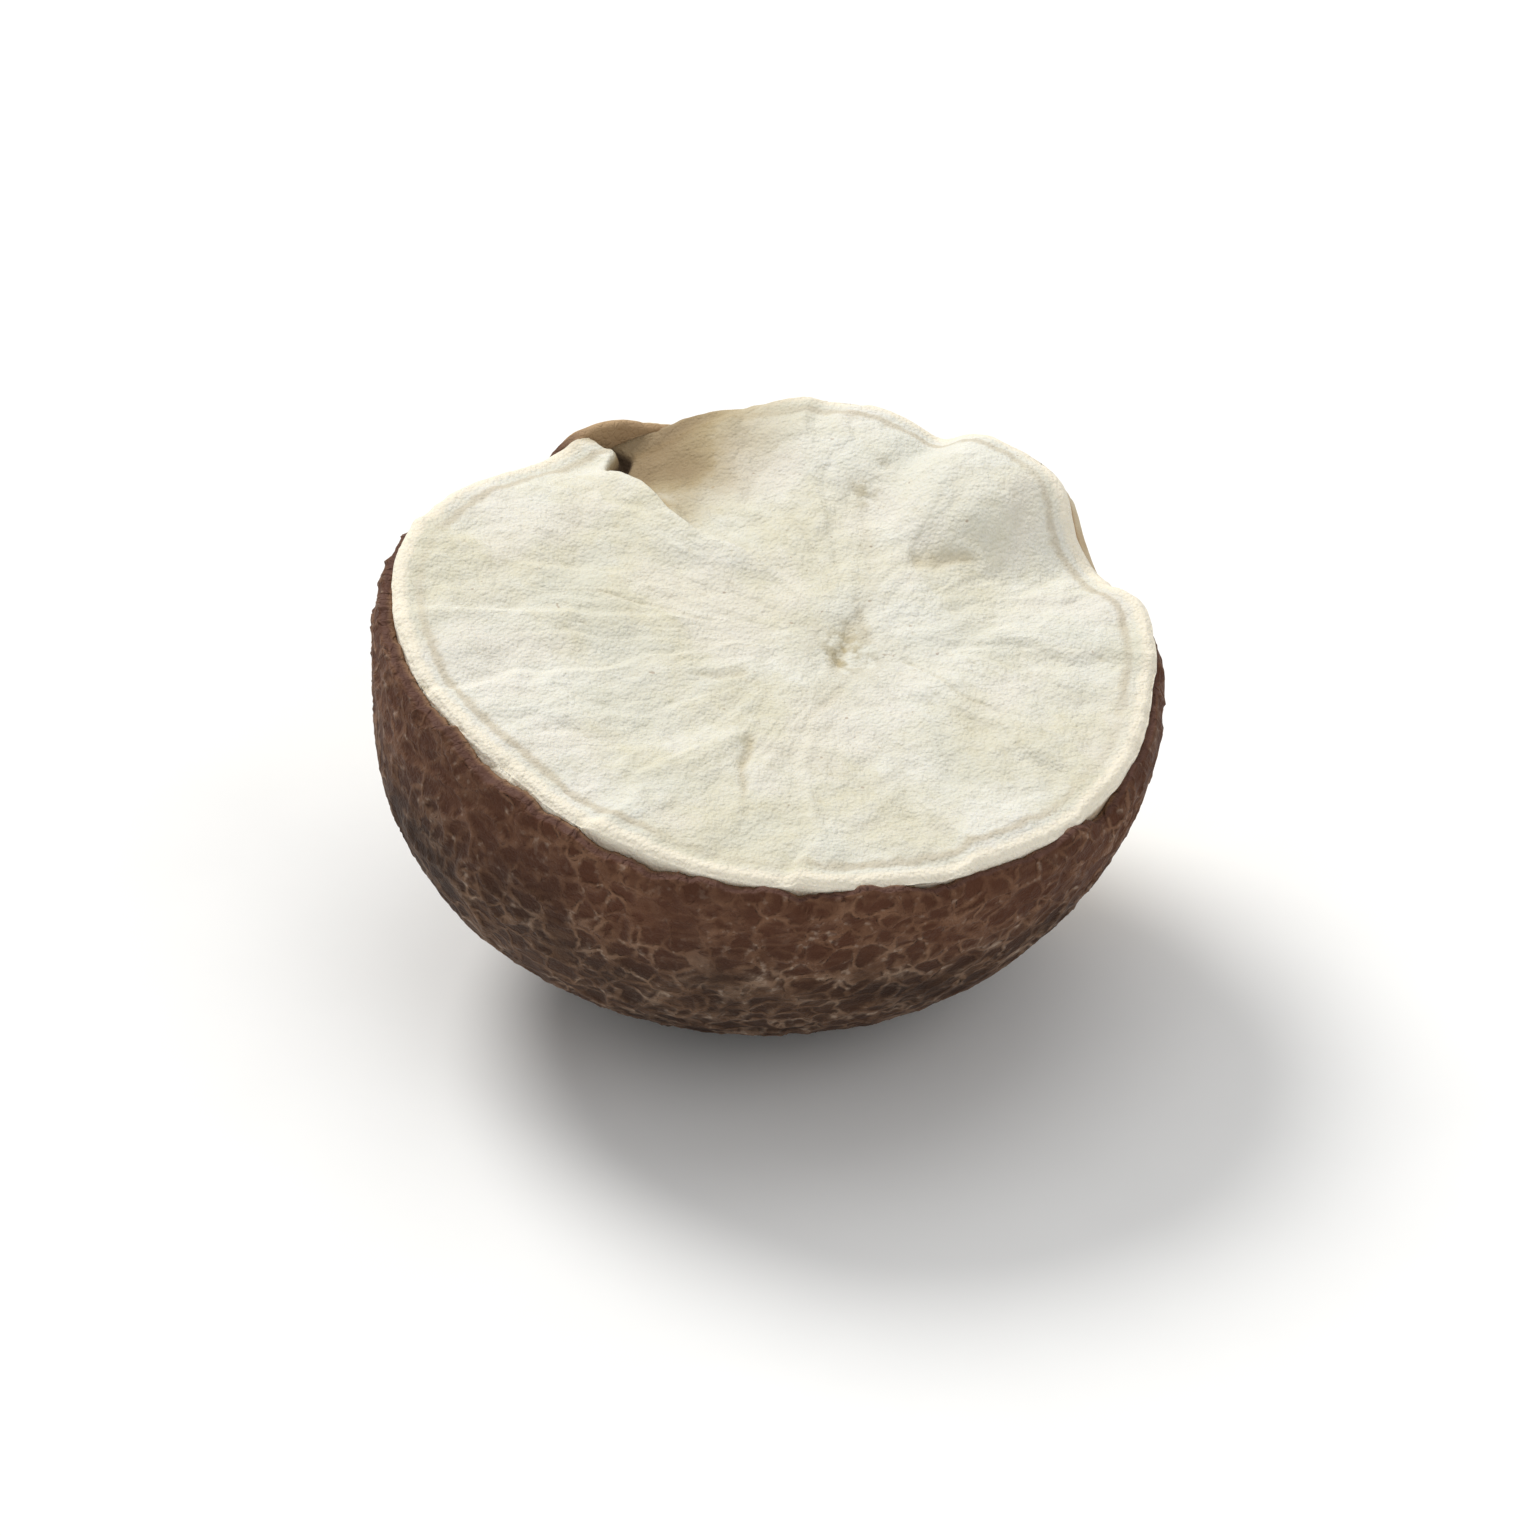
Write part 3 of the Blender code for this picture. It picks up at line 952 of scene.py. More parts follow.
@dataclass(frozen=True)
class SeedCoat:
    """The thin brown skin round the kernel, with its broken edge."""

    seed: Seed
    fracture: Break
    cap: Cap
    finish: "SkinFinish"
    name: str = "seed_coat_half"
    edge_drop: float = 0.095
    edge_waves: tuple[int, ...] = (5, 9, 14, 23)
    edge_wave_height: float = 0.025
    edge_wave_seed: int = 5
    edge_drops: tuple[Swell, ...] = (
        Swell(-85.0, 0.15, 2.4),
        Swell(-118.0, 0.10, 4.0),
        Swell(-66.0, 0.07, 2.2),
        Swell(-32.0, 0.11, 3.2),
        Swell(138.0, 0.20, 24.0),
        Swell(60.0, 0.12, 14.0),
        Swell(160.0, 0.14, 14.0),
        Swell(12.0, 0.15, 20.0),
        Swell(116.5, -0.46, 7.5),
    )
    edge_chips: Grain = Grain(8, 0.5, 4, 0.65)
    edge_chip_depth: float = 0.026
    edge_chip_steps: float = 2.5
    bridge: Swell = Swell(117.0, 1.0, 9.0)
    bridge_span: float = 5.0
    edge_thinned: Bump = Bump(0.08, 0.09)
    edge_kept: float = 0.9
    edge_rough: Grain = Grain(10, 0.16, 2, height=0.012)
    edge_arch: float = 0.02
    inner_drop: float = 0.01

    rim_sway: Grain = Grain(9, 1.3, height=0.35)
    rim_band: Pair = (1.8, 0.4)
    drawn_band: Pair = (4.5, 0.6)
    drawn_by: float = 0.7
    net: WaveNet = WaveNet(0.62, 23, 0.50)
    net_sway: Grain = Grain(9, 1.0, height=0.16)
    net_sways: Triple = (10.0, 20.0, 30.0)
    net_height: float = 0.046
    fine_net: WaveNet = WaveNet(0.3224, 29, 0.45)
    fine_net_height: float = 0.010
    plateau_steepness: float = 1.2
    plateau_height: float = 0.020
    worn: Grain = Grain(9, 0.8, shift=70.0, height=0.35)
    net_least: float = 0.65
    ridge_share: float = 0.75
    fine_ridge_share: float = 0.30
    sag: Grain = Grain(9, 2.1, shift=40.0)
    sag_height: float = 0.030
    spot_clear_angle: float = 9.0

    columns: int = 640
    outside_rings: int = 126
    edge_rings: int = 5
    inside_rings: int = 12
    inside_crowding: float = 1.3

    @cached_property
    def azimuth(self) -> Array:
        """Heading of every column."""
        return azimuths(self.columns)

    @cached_property
    def drop(self) -> Array:
        """How far the broken edge lies below the plain break, in every column.

        Returns:
            The drops.
        """
        random = np.random.default_rng(self.edge_wave_seed)
        waves = np.zeros_like(self.azimuth)
        for count in self.edge_waves:
            waves += np.sin(np.radians(self.azimuth * count) + random.uniform(0.0, 2.0 * np.pi))
        drop = self.edge_drop + self.edge_wave_height * waves
        drop += sum(place.at(self.azimuth) for place in self.edge_drops)
        chips = self.edge_chips.at(self.seed.waist(self.azimuth))
        stepped = np.round(chips * self.edge_chip_steps) / self.edge_chip_steps
        return drop + self.edge_chip_depth * (chips + stepped)

    def build(self) -> bpy.types.Object:
        """Make the coat and give it its finish.

        Returns:
            The dressed piece.
        """
        outside, marks = self.outside()
        inside = self.inside()
        share = np.linspace(0.0, 1.0, self.edge_rings + 2)[1:-1]
        edge = self.edge(outside[-1], inside[0], share[:, None, None])
        through = np.concatenate((np.zeros(len(outside)), share, np.ones(len(inside))))
        rings = np.concatenate((outside, edge, inside))
        for mark, values in marks.items():
            last = np.broadcast_to(values[-1], (len(edge) + len(inside), self.columns))
            marks[mark] = np.concatenate((values, last))
        marks[Mark.BROKEN_EDGE] = np.repeat(through[:, None], self.columns, axis=1)
        return ring_mesh(self.name, rings, marks, self.finish.make())

    def edge_elevation(self, inset: float, drop: Array) -> Array:
        """Find the broken edge, which spans the fold of the kernel without a step.

        Args:
            inset: how far the surface lies inside the coat's plain outside.
            drop: how far the edge lies below the break in every column.

        Returns:
            Elevations.
        """
        rim = self.fracture.rim_elevation(self.seed, self.azimuth, inset, drop)
        window = bell(wrapped(self.azimuth), self.bridge_span)
        evened = np.fft.irfft(np.fft.rfft(rim) * np.fft.rfft(window / window.sum()), len(rim))
        return rim + (evened - rim) * self.bridge.at(self.azimuth)

    def outside(self) -> tuple[Array, Marks]:
        """Lay rings from the middle of the flat spot up to the broken edge.

        Returns:
            The rings and their marks.
        """
        rim, low = self.edge_elevation(0.0, self.drop), self.seed.spot_elevation
        elevation = low + (rim - low) * np.linspace(0.0, 1.0, self.outside_rings)[:, None]
        heading = np.broadcast_to(self.azimuth, elevation.shape)
        plain = self.seed.radius(heading, elevation)
        below_edge = np.radians(rim - elevation) * plain
        relief, marks = self.relief(heading, elevation, below_edge)
        thick = self.edge_kept * self.seed.thick_side.at(self.azimuth)
        thinned = (1.0 - thick) * self.edge_thinned.at(below_edge)
        rings = self.seed.points(heading, elevation, plain + relief - thinned)
        rings[0] = direction(self.azimuth, 0.0) * self.seed.spot_radius
        rings = np.concatenate((np.zeros_like(rings[:1]), rings))
        return rings, {mark: np.concatenate((values[:1], values)) for mark, values in marks.items()}

    def relief(self, azimuth: Array, elevation: Array, below_edge: Array) -> tuple[Array, Marks]:
        """Work out the wrinkles, the cap and the scar.

        Args:
            azimuth: headings of the points.
            elevation: elevations of the points.
            below_edge: distance of each point from the broken edge.

        Returns:
            Height over the plain outside, and the marks of the skin.
        """
        towards = direction(azimuth, elevation)
        ball = towards * self.seed.half_width
        near_rim = rise(below_edge + self.rim_sway.at(ball), *self.rim_band)
        bent = ball + np.stack([self.net_sway.at(ball + apart) for apart in self.net_sways], axis=-1)
        bent[..., 2] *= 1.0 + self.drawn_by * rise(below_edge, *self.drawn_band)
        waves = self.net.at(bent)
        net = bell(waves, self.net.half_width) * (self.net_least + self.worn.at(ball))
        fine_net = bell(self.fine_net.at(bent), self.fine_net.half_width)
        plateau = 0.5 + 0.5 * np.tanh(waves * self.plateau_steepness)

        from_scar, inside_cap = self.cap.inside(towards, ball)
        on_skin = rise(inside_cap, *self.cap.edge_fade)
        relief = self.net_height * net + self.fine_net_height * fine_net
        relief += self.plateau_height * plateau + self.sag_height * (0.5 + 0.5 * self.sag.at(ball))
        relief *= self.cap.wrinkles + (1.0 - self.cap.wrinkles) * on_skin
        relief += self.cap.relief(from_scar, inside_cap)
        low = self.seed.spot_elevation
        relief *= rise(elevation, low, low + self.spot_clear_angle)
        ridge = self.ridge_share * net + self.fine_ridge_share * fine_net
        to_mm = math.radians(1.0) * self.seed.half_width
        marks = {
            Mark.RIDGE: np.clip(ridge, 0.0, 1.0) * on_skin,
            Mark.NEAR_RIM: near_rim,
            Mark.CAP: inside_cap * to_mm,
            Mark.SCAR: from_scar * to_mm,
        }
        return relief, marks

    def inside(self) -> Array:
        """Lay rings from the inner side of the edge down to the bottom.

        Returns:
            The rings.
        """
        rim = self.edge_elevation(self.seed.coat_thickness, self.drop + self.inner_drop)
        left = 1.0 - np.linspace(0.0, 1.0, self.inside_rings)[:, None] ** self.inside_crowding
        elevation = -90.0 + (rim + 90.0) * left
        heading = np.broadcast_to(self.azimuth, elevation.shape)
        radius = self.seed.radius(heading, elevation) - self.seed.coat_thickness
        return self.seed.points(heading, elevation, radius)

    def edge(self, outer: Array, inner: Array, share: Array) -> Array:
        """Lay rings across the broken edge.

        Args:
            outer: last ring of the outside.
            inner: first ring of the inside.
            share: how far through the coat each ring lies, from 0 to 1.

        Returns:
            The rings between the two.
        """
        rings = outer + (inner - outer) * share
        rings[..., 2] += self.edge_rough.at(rings) + self.edge_arch * np.sin(np.pi * share[..., 0])
        return rings


@dataclass(frozen=True)
class Mottling:
    """Soft noise in a material: the size of its patches, how fine it gets, and a sideways move."""

    spacing: float
    detail: float
    shift: float = 0.0


@dataclass(frozen=True)
class Paint:
    """A colour, the values between which it comes in, and how much of it shows at most."""

    colour: Colour
    start: float
    end: float
    share: float = 1.0


class Cells(Enum):
    """What a pattern of irregular cells gives the distance to."""

    MIDDLE = "F1"
    EDGE = "DISTANCE_TO_EDGE"


@dataclass(frozen=True)
class Value:
    """A number that changes over a surface: one output of a node."""

    kit: "NodeKit"
    socket: bpy.types.NodeSocket

    def __add__(self, other: "Value | float") -> "Value":
        """Sum."""
        return self.kit.math("ADD", self, other)

    __radd__ = __add__

    def __sub__(self, other: "Value | float") -> "Value":
        """Difference."""
        return self.kit.math("SUBTRACT", self, other)

    def __rsub__(self, other: float) -> "Value":
        """Difference from a plain number."""
        return self.kit.math("SUBTRACT", other, self)

    def __mul__(self, other: "Value | float") -> "Value":
        """Product."""
        return self.kit.math("MULTIPLY", self, other)

    __rmul__ = __mul__

    def or_more(self, other: "Value | float") -> "Value":
        """The larger of the two."""
        return self.kit.math("MAXIMUM", self, other)

    def clamped(self) -> "Value":
        """The same number, held between 0 and 1."""
        return self.kit.math("MINIMUM", self.or_more(0.0), 1.0)

    def stirred(self, noise: "Value", amount: "Value | float") -> "Value":
        """The same number, pushed up and down by noise from 0 to 1."""
        return self + (noise - 0.5) * amount

    def rise(self, start: float, end: float) -> "Value":
        """Rise smoothly from 0 at start to 1 at end, or fall where start is the larger.

        Args:
            start: where the result is 0.
            end: where it is 1.

        Returns:
            The risen number.
        """
        sockets = {"Value": self, "From Min": min(start, end), "From Max": max(start, end)}
        node = self.kit.node("ShaderNodeMapRange", {"interpolation_type": "SMOOTHSTEP"}, sockets)
        risen = Value(self.kit, node.outputs["Result"])
        return risen if start < end else 1.0 - risen


class NodeKit:
    """Adds nodes to one material and joins them up."""

    def __init__(self, name: str) -> None:
        """Start an empty material.

        Args:
            name: name of the material.
        """
        self.material = bpy.data.materials.new(name)
        self.material.use_nodes = True
        self.tree = self.material.node_tree
        self.tree.nodes.clear()

    def node(self, kind: str, settings: dict[str, Any], sockets: dict[str | int, Any]) -> bpy.types.Node:
        """Add one node.

        Args:
            kind: Blender's name for the type of node.
            settings: its own settings, which are set first.
            sockets: a value or a link for each of its inputs, by name or number.

        Returns:
            The node.
        """
        node = self.tree.nodes.new(kind)
        for name, value in settings.items():
            setattr(node, name, value)
        for name, value in sockets.items():
            self.feed(node.inputs[name], value)
        return node

    def feed(self, socket: bpy.types.NodeSocket, value: Any) -> None:
        """Fill an input.

        Args:
            socket: the input.
            value: a link, a colour or a number.
        """
        if isinstance(value, Value):
            value = value.socket
        if isinstance(value, bpy.types.NodeSocket):
            self.tree.links.new(value, socket)
        elif socket.type == "RGBA":
            socket.default_value = (*value, 1.0)
        else:
            socket.default_value = value

    def math(self, operation: str, *values: Value | float) -> Value:
        """Work out one operation on numbers."""
        node = self.node("ShaderNodeMath", {"operation": operation}, dict(enumerate(values)))
        return Value(self, node.outputs[0])

    def vector(self, operation: str, *values: Any) -> bpy.types.NodeSocket:
        """Work out one operation on places."""
        node = self.node("ShaderNodeVectorMath", {"operation": operation}, dict(enumerate(values)))
        return node.outputs["Vector"]

    def mix(self, base: Any, top: Any, share: Value | float) -> bpy.types.NodeSocket:
        """Lay one colour, or its link, over another in a share."""
        node = self.node("ShaderNodeMix", {"data_type": "RGBA"}, {0: share, 6: base, 7: top})
        return node.outputs[2]

    def lay(self, base: Any, paint: Paint, value: Value, within: Value | float = 1.0) -> bpy.types.NodeSocket:
        """Lay a paint over a colour where a number rises, within a share."""
        return self.mix(base, paint.colour, value.rise(paint.start, paint.end) * (within * paint.share))

    def place(self) -> bpy.types.NodeSocket:
        """Place on the piece in millimetres."""
        spot = self.node("ShaderNodeTexCoord", {}, {}).outputs["Object"]
        return self.vector("MULTIPLY", spot, (1.0 / MM,) * 3)

    def mark(self, mark: Mark) -> Value:
        """One of the numbers that the mesh keeps at its points."""
        settings = {"attribute_type": "GEOMETRY", "attribute_name": mark.value}
        return Value(self, self.node("ShaderNodeAttribute", settings, {}).outputs["Fac"])

    def noise(self, place: Any, mottling: Mottling) -> Value:
        """Add soft noise.

        Args:
            place: place in millimetres.
            mottling: kind of noise.

        Returns:
            The noise, from 0 to 1.
        """
        moved = self.vector("ADD", place, (mottling.shift,) * 3)
        sockets = {"Vector": moved, "Scale": 1.0 / mottling.spacing, "Detail": mottling.detail}
        return Value(self, self.node("ShaderNodeTexNoise", {}, sockets).outputs["Fac"])

    def bent(self, place: Any, spacing: float, amount: float) -> bpy.types.NodeSocket:
        """The same place, pushed about by soft noise of one spacing."""
        noise = self.node("ShaderNodeTexNoise", {}, {"Vector": place, "Scale": 1.0 / spacing})
        return self.vector("MULTIPLY_ADD", noise.outputs["Color"], (amount,) * 3, place)

    def cells(self, place: Any, spacing: float, feature: Cells) -> Value:
        """Add a pattern of irregular cells.

        Args:
            place: place in millimetres.
            spacing: size of the cells in millimetres.
            feature: what the distance is measured to.

        Returns:
            The distance, in cell sizes.
        """
        sockets = {"Vector": place, "Scale": 1.0 / spacing}
        node = self.node("ShaderNodeTexVoronoi", {"feature": feature.value}, sockets)
        return Value(self, node.outputs["Distance"])

    def bump(self, height: Value, depth: float, under: Any = None) -> bpy.types.NodeSocket:
        """Tilt the surface as if it had a fine relief.

        Args:
            height: relief from 0 to 1.
            depth: what a height of 1 stands for, in millimetres.
            under: a coarser relief that this one lies on.

        Returns:
            The surface's direction.
        """
        sockets = {"Height": height, "Distance": depth * MM, "Strength": 1.0}
        if under is not None:
            sockets["Normal"] = under
        return self.node("ShaderNodeBump", {}, sockets).outputs["Normal"]

    def surface(self, sockets: dict[str | int, Any]) -> bpy.types.Material:
        """End the material in one shader.

        Args:
            sockets: values and links of the shader.

        Returns:
            The material.
        """
        shader = self.node("ShaderNodeBsdfPrincipled", {}, sockets)
        self.node("ShaderNodeOutputMaterial", {}, {"Surface": shader.outputs["BSDF"]})
        return self.material


@dataclass(frozen=True)
class StarchFinish:
    """Broken dry starch: matt, dusty and a little streaky, with painted shade in its creases, cracks, pockets
    and the gap by the fold.
    """

    name: str = "kernel_starch"
    patches: Mottling = Mottling(1.7, 3.0)
    grain: Mottling = Mottling(0.16, 4.0, 8.0)
    dust: Mottling = Mottling(0.05, 3.0, 20.0)
    tints: Mottling = Mottling(1.2, 3.0, 90.0)
    specks: Mottling = Mottling(0.11, 1.0, 44.0)
    grain_size: float = 0.045
    grain_relief: float = 0.012
    rough_relief: float = 0.026
    cream: Colour = (0.668, 0.632, 0.492)
    chalk: Paint = Paint((0.750, 0.736, 0.655), 0.36, 0.66, 0.8)
    chalk_stir: float = 1.1
    chalk_more: float = 0.1
    chalk_smooth: float = 0.7
    blush: Paint = Paint((0.762, 0.722, 0.645), 0.52, 0.66, 0.45)
    grey: Paint = Paint((0.645, 0.641, 0.552), 0.48, 0.34, 0.4)
    # tan stain round the heart and painted shade in the pockets
    soil_and_shade: Paint = Paint((0.40, 0.335, 0.190), 0.36, 0.60, 0.85)
    # painted shade for the creases and the foot of the fold
    crease_shade_colour: Colour = (0.50, 0.450, 0.340)
    crease_shade_share: float = 0.35
    # tan of the cracks and pits, partly their own colour and partly painted shade that deepens with them
    crack: Colour = (0.42, 0.325, 0.155)
    crack_shade_share: float = 0.75
    speck: Paint = Paint((0.30, 0.18, 0.11), 0.76, 0.82, 0.5)
    rim_stir: float = 0.12
    line_inner: Pair = (0.42, 0.33)
    line_outer: Pair = (0.24, 0.30)
    line_patches: Pair = (0.35, 0.6)
    line_least: float = 0.16
    line_more: float = 0.42
    under_rind: Colour = (0.50, 0.425, 0.300)
    rind: Paint = Paint((0.84, 0.772, 0.630), 0.22, 0.12, 0.9)
    # tan of the bared skin, partly painted shade that fades away from the fold
    bared: Colour = (0.375, 0.283, 0.142)
    bared_more: float = 1.4
    bared_share: float = 0.85
    # darker brown nearest the fold is painted shade; below it, near-black painted shade in the narrow gap
    recess_shade: Paint = Paint((0.20, 0.125, 0.060), 0.6, 1.0, 0.6)
    gap: Paint = Paint((0.050, 0.028, 0.014), 0.95, 1.5, 0.9)
    husk_line: Paint = Paint((0.50, 0.36, 0.22), -0.05, -0.16, 0.75)
    roughness: float = 0.88
    rind_gloss: float = 0.12
    gloss_edge: Pair = (0.26, 0.16)
    specular: float = 0.28
    glow: float = 0.12
    glow_spread: Triple = (1.0, 0.85, 0.6)
    glow_depth: float = 0.25

    def make(self) -> bpy.types.Material:
        """Build the material.

        Returns:
            The material.
        """
        kit = NodeKit(self.name)
        place = kit.place()
        from_rim, bared = kit.mark(Mark.RIND), kit.mark(Mark.BARED)
        patches, grain, dust, tints, specks = (
            kit.noise(place, kind)
            for kind in (self.patches, self.grain, self.dust, self.tints, self.specks)
        )
        chalky = patches.rise(self.chalk.start, self.chalk.end) * self.chalk.share
        chalky = chalky.stirred(grain, self.chalk_stir) + self.chalk_more
        chalky = chalky + kit.mark(Mark.SMOOTH) * self.chalk_smooth
        # painted shade in the creases, broken up by the grain
        crease_shading = (kit.mark(Mark.CREASE) * (grain * 1.1 - 0.1)).clamped()
        ragged_rim = from_rim.stirred(grain, self.rim_stir)
        line = ragged_rim.rise(*self.line_outer) * ragged_rim.rise(*self.line_inner)

        colour = kit.mix(self.cream, self.chalk.colour, chalky.clamped())
        colour = kit.lay(colour, self.blush, tints)
        colour = kit.lay(colour, self.grey, tints)
        # stain round the heart and painted shade in the pockets
        colour = kit.lay(colour, self.soil_and_shade, grain, kit.mark(Mark.STAIN_AND_SHADE))
        colour = kit.mix(colour, self.crease_shade_colour, crease_shading * self.crease_shade_share)
        # painted shade in the cracks and pits
        colour = kit.mix(colour, self.crack, kit.mark(Mark.CRACK_SHADE) * self.crack_shade_share)
        colour = kit.lay(colour, self.speck, specks)
        line = line * (patches.rise(*self.line_patches) * self.line_more + self.line_least)
        colour = kit.mix(colour, self.under_rind, line)
        colour = kit.lay(colour, self.rind, ragged_rim, 1.0 - bared)
        ragged = (bared * self.bared_more).stirred(grain, bared).clamped()
        colour = kit.mix(colour, self.bared, ragged * self.bared_share)
        # painted shade nearest the fold and in the gap
        colour = kit.lay(colour, self.recess_shade, bared)
        colour = kit.lay(colour, self.gap, bared)
        colour = kit.lay(colour, self.husk_line, from_rim)

        rough = kit.bump(grain + dust * 0.6, self.rough_relief)
        grains = 1.0 - kit.cells(place, self.grain_size, Cells.MIDDLE)
        return kit.surface(
            {
                "Base Color": colour,
                "Roughness": self.roughness - from_rim.rise(*self.gloss_edge) * self.rind_gloss,
                "Normal": kit.bump(grains, self.grain_relief, rough),
                "Specular IOR Level": self.specular,
                "Subsurface Weight": self.glow,
                "Subsurface Radius": self.glow_spread,
                "Subsurface Scale": self.glow_depth * MM,
            }
        )


@dataclass(frozen=True)
class SkinFinish:
    """Dry wrinkled seed skin: dark red-brown with paler ridges, its hollows also painted darker as shade, and
    the pale cap.
    """

    name: str = "seed_coat_skin"
    blotch: Mottling = Mottling(1.5, 3.0)
    mottle: Mottling = Mottling(0.35, 3.0, 12.0)
    fine: Mottling = Mottling(0.09, 3.0, 25.0)
    drawn: Mottling = Mottling(0.75, 4.0, 61.0)
    drawn_out: Triple = (1.0, 1.0, 5.0)
    dusting: Mottling = Mottling(0.12, 2.0, 51.0)
    net_spacing: float = 0.34
    net_bend: Pair = (0.30, 0.32)
    net_line: Pair = (0.17, 0.02)
    worn_blotch: Pair = (0.3, 0.6)
    worn_mottle: Pair = (0.3, 0.62)
    ridge_line: Pair = (0.2, 0.8)
    drawn_line: Pair = (0.5, 0.72)
    # skin in the wrinkle hollows: its own dark brown, and partly painted shade
    hollow: Colour = (0.030, 0.0132, 0.0066)
    hollow_warm: Paint = Paint((0.048, 0.020, 0.0092), 0.35, 0.65)
    ridge: Colour = (0.166, 0.092, 0.052)
    ridge_grey: Paint = Paint((0.235, 0.158, 0.107), 0.45, 0.75)
    rim_red: Colour = (0.094, 0.032, 0.0140)
    rim_ridge: Colour = (0.195, 0.094, 0.050)
    # pale dust specks on the ridges, partly painted highlights on their crests
    powder_and_highlights: Paint = Paint((0.47, 0.37, 0.29), 0.56, 0.72, 0.55)
    powder_highlight_patches: Pair = (0.35, 0.6)

    cap_patches: Mottling = Mottling(0.9, 3.0, 33.0)
    grime: Mottling = Mottling(0.22, 4.0, 71.0)
    fibres: Mottling = Mottling(0.10, 3.0, 83.0)
    cream: Colour = (0.66, 0.58, 0.42)
    cream_pale: Paint = Paint((0.76, 0.70, 0.55), 0.35, 0.65)
    tan_dark: Colour = (0.20, 0.105, 0.055)
    tan: Paint = Paint((0.46, 0.30, 0.15), -0.02, 0.14)
    grimy: Paint = Paint((0.46, 0.30, 0.15), 0.58, 0.74, 0.35)
    scar_brown: Colour = (0.24, 0.15, 0.085)
    cap_edge: Pair = (-0.06, 0.04)
    tan_band: Pair = (0.35, 0.95)
    scar_floor: Pair = (1.08, 0.96)
    scar_foot: Pair = (0.66, 0.98)
    scar_side: Pair = (1.12, 1.02)
    pip: Pair = (0.36, 0.20)

    broken: Colour = (0.105, 0.048, 0.033)
    lining: Colour = (0.26, 0.150, 0.085)
    pale_edge: Colour = (0.44, 0.300, 0.170)
    pale_lining: Colour = (0.40, 0.270, 0.150)
    pale_start: Pair = (-0.15, 0.35)
    lining_start: Pair = (0.45, 1.0)
    edge_start: Pair = (0.0, 0.25)

    skin_start: Pair = (0.1, -0.2)
    relief: float = 0.02
    pore_size: float = 0.07
    pore_edge: Pair = (0.0, 0.25)
    pore_relief: float = 0.006
    roughness: float = 0.74
    ridge_gloss: float = 0.14
    specular: float = 0.20

    def make(self) -> bpy.types.Material:
        """Build the material.

        Returns:
            The material.
        """
        kit = NodeKit(self.name)
        place = kit.place()
        ridge, near_rim, on_cap = (kit.mark(mark) for mark in (Mark.RIDGE, Mark.NEAR_RIM, Mark.CAP))
        blotch, mottle, fine, dusting = (
            kit.noise(place, kind) for kind in (self.blotch, self.mottle, self.fine, self.dusting)
        )
        drawn = kit.noise(kit.vector("MULTIPLY", place, self.drawn_out), self.drawn)
        cells = kit.cells(kit.bent(place, *self.net_bend), self.net_spacing, Cells.EDGE)
        worn = blotch.rise(*self.worn_blotch) * 0.45 + mottle.rise(*self.worn_mottle) * 0.55
        net = (ridge.rise(*self.ridge_line) * 0.85).or_more(cells.rise(*self.net_line) * worn)
        # lit: the paler ridge skin shows on the crests, and the hollows are left darker, partly as painted
        # shade
        lit = (net * (worn * 0.6 + 0.4)).stirred(fine, 0.30) + drawn.rise(*self.drawn_line) * 0.3

        hollow = kit.lay(self.hollow, self.hollow_warm, blotch)
        hollow = kit.mix(hollow, self.rim_red, (near_rim * (blotch * 0.6 + 0.45)).clamped())
        crest = kit.lay(self.ridge, self.ridge_grey, mottle)
        crest = kit.mix(crest, self.rim_ridge, near_rim * 0.8)
        colour = kit.mix(hollow, crest, lit.clamped())
        # dust specks and painted highlights, mostly on the ridges
        powder_highlight_share = (net * 0.75 + 0.15) * mottle.rise(*self.powder_highlight_patches)
        colour = kit.lay(colour, self.powder_and_highlights, dusting, powder_highlight_share)
        colour = self.lay_cap(kit, place, colour, mottle)
        colour = self.lay_edge(kit, colour, fine)

        on_skin = on_cap.rise(*self.skin_start)
        wrinkles = kit.bump(mottle + fine * 0.5 + net * on_skin * 1.6, self.relief)
        pores = kit.cells(place, self.pore_size, Cells.EDGE).rise(*self.pore_edge)
        return kit.surface(
            {
                "Base Color": colour,
                "Roughness": (self.roughness - ridge * self.ridge_gloss).stirred(fine, 0.2).clamped(),
                "Normal": kit.bump(pores, self.pore_relief, wrinkles),
                "Specular IOR Level": self.specular,
            }
        )

    def lay_cap(self, kit: NodeKit, place: Any, skin: Any, mottle: Value) -> bpy.types.NodeSocket:
        """Paint the pale cap, its tan border and the scar over the skin.

        Args:
            kit: the material's nodes.
            place: place in millimetres.
            skin: colour of the skin.
            mottle: noise over the surface.

        Returns:
            The colour with the cap on it.
        """
        patches, grime, fibres = (
            kit.noise(place, kind) for kind in (self.cap_patches, self.grime, self.fibres)
        )
        inside = kit.mark(Mark.CAP).stirred(mottle, 0.35)
        from_scar = kit.mark(Mark.SCAR).stirred(grime, 0.22)
        floor, pip = from_scar.rise(*self.scar_floor), from_scar.rise(*self.pip)
        foot = from_scar.rise(*self.scar_foot) * from_scar.rise(*self.scar_side)

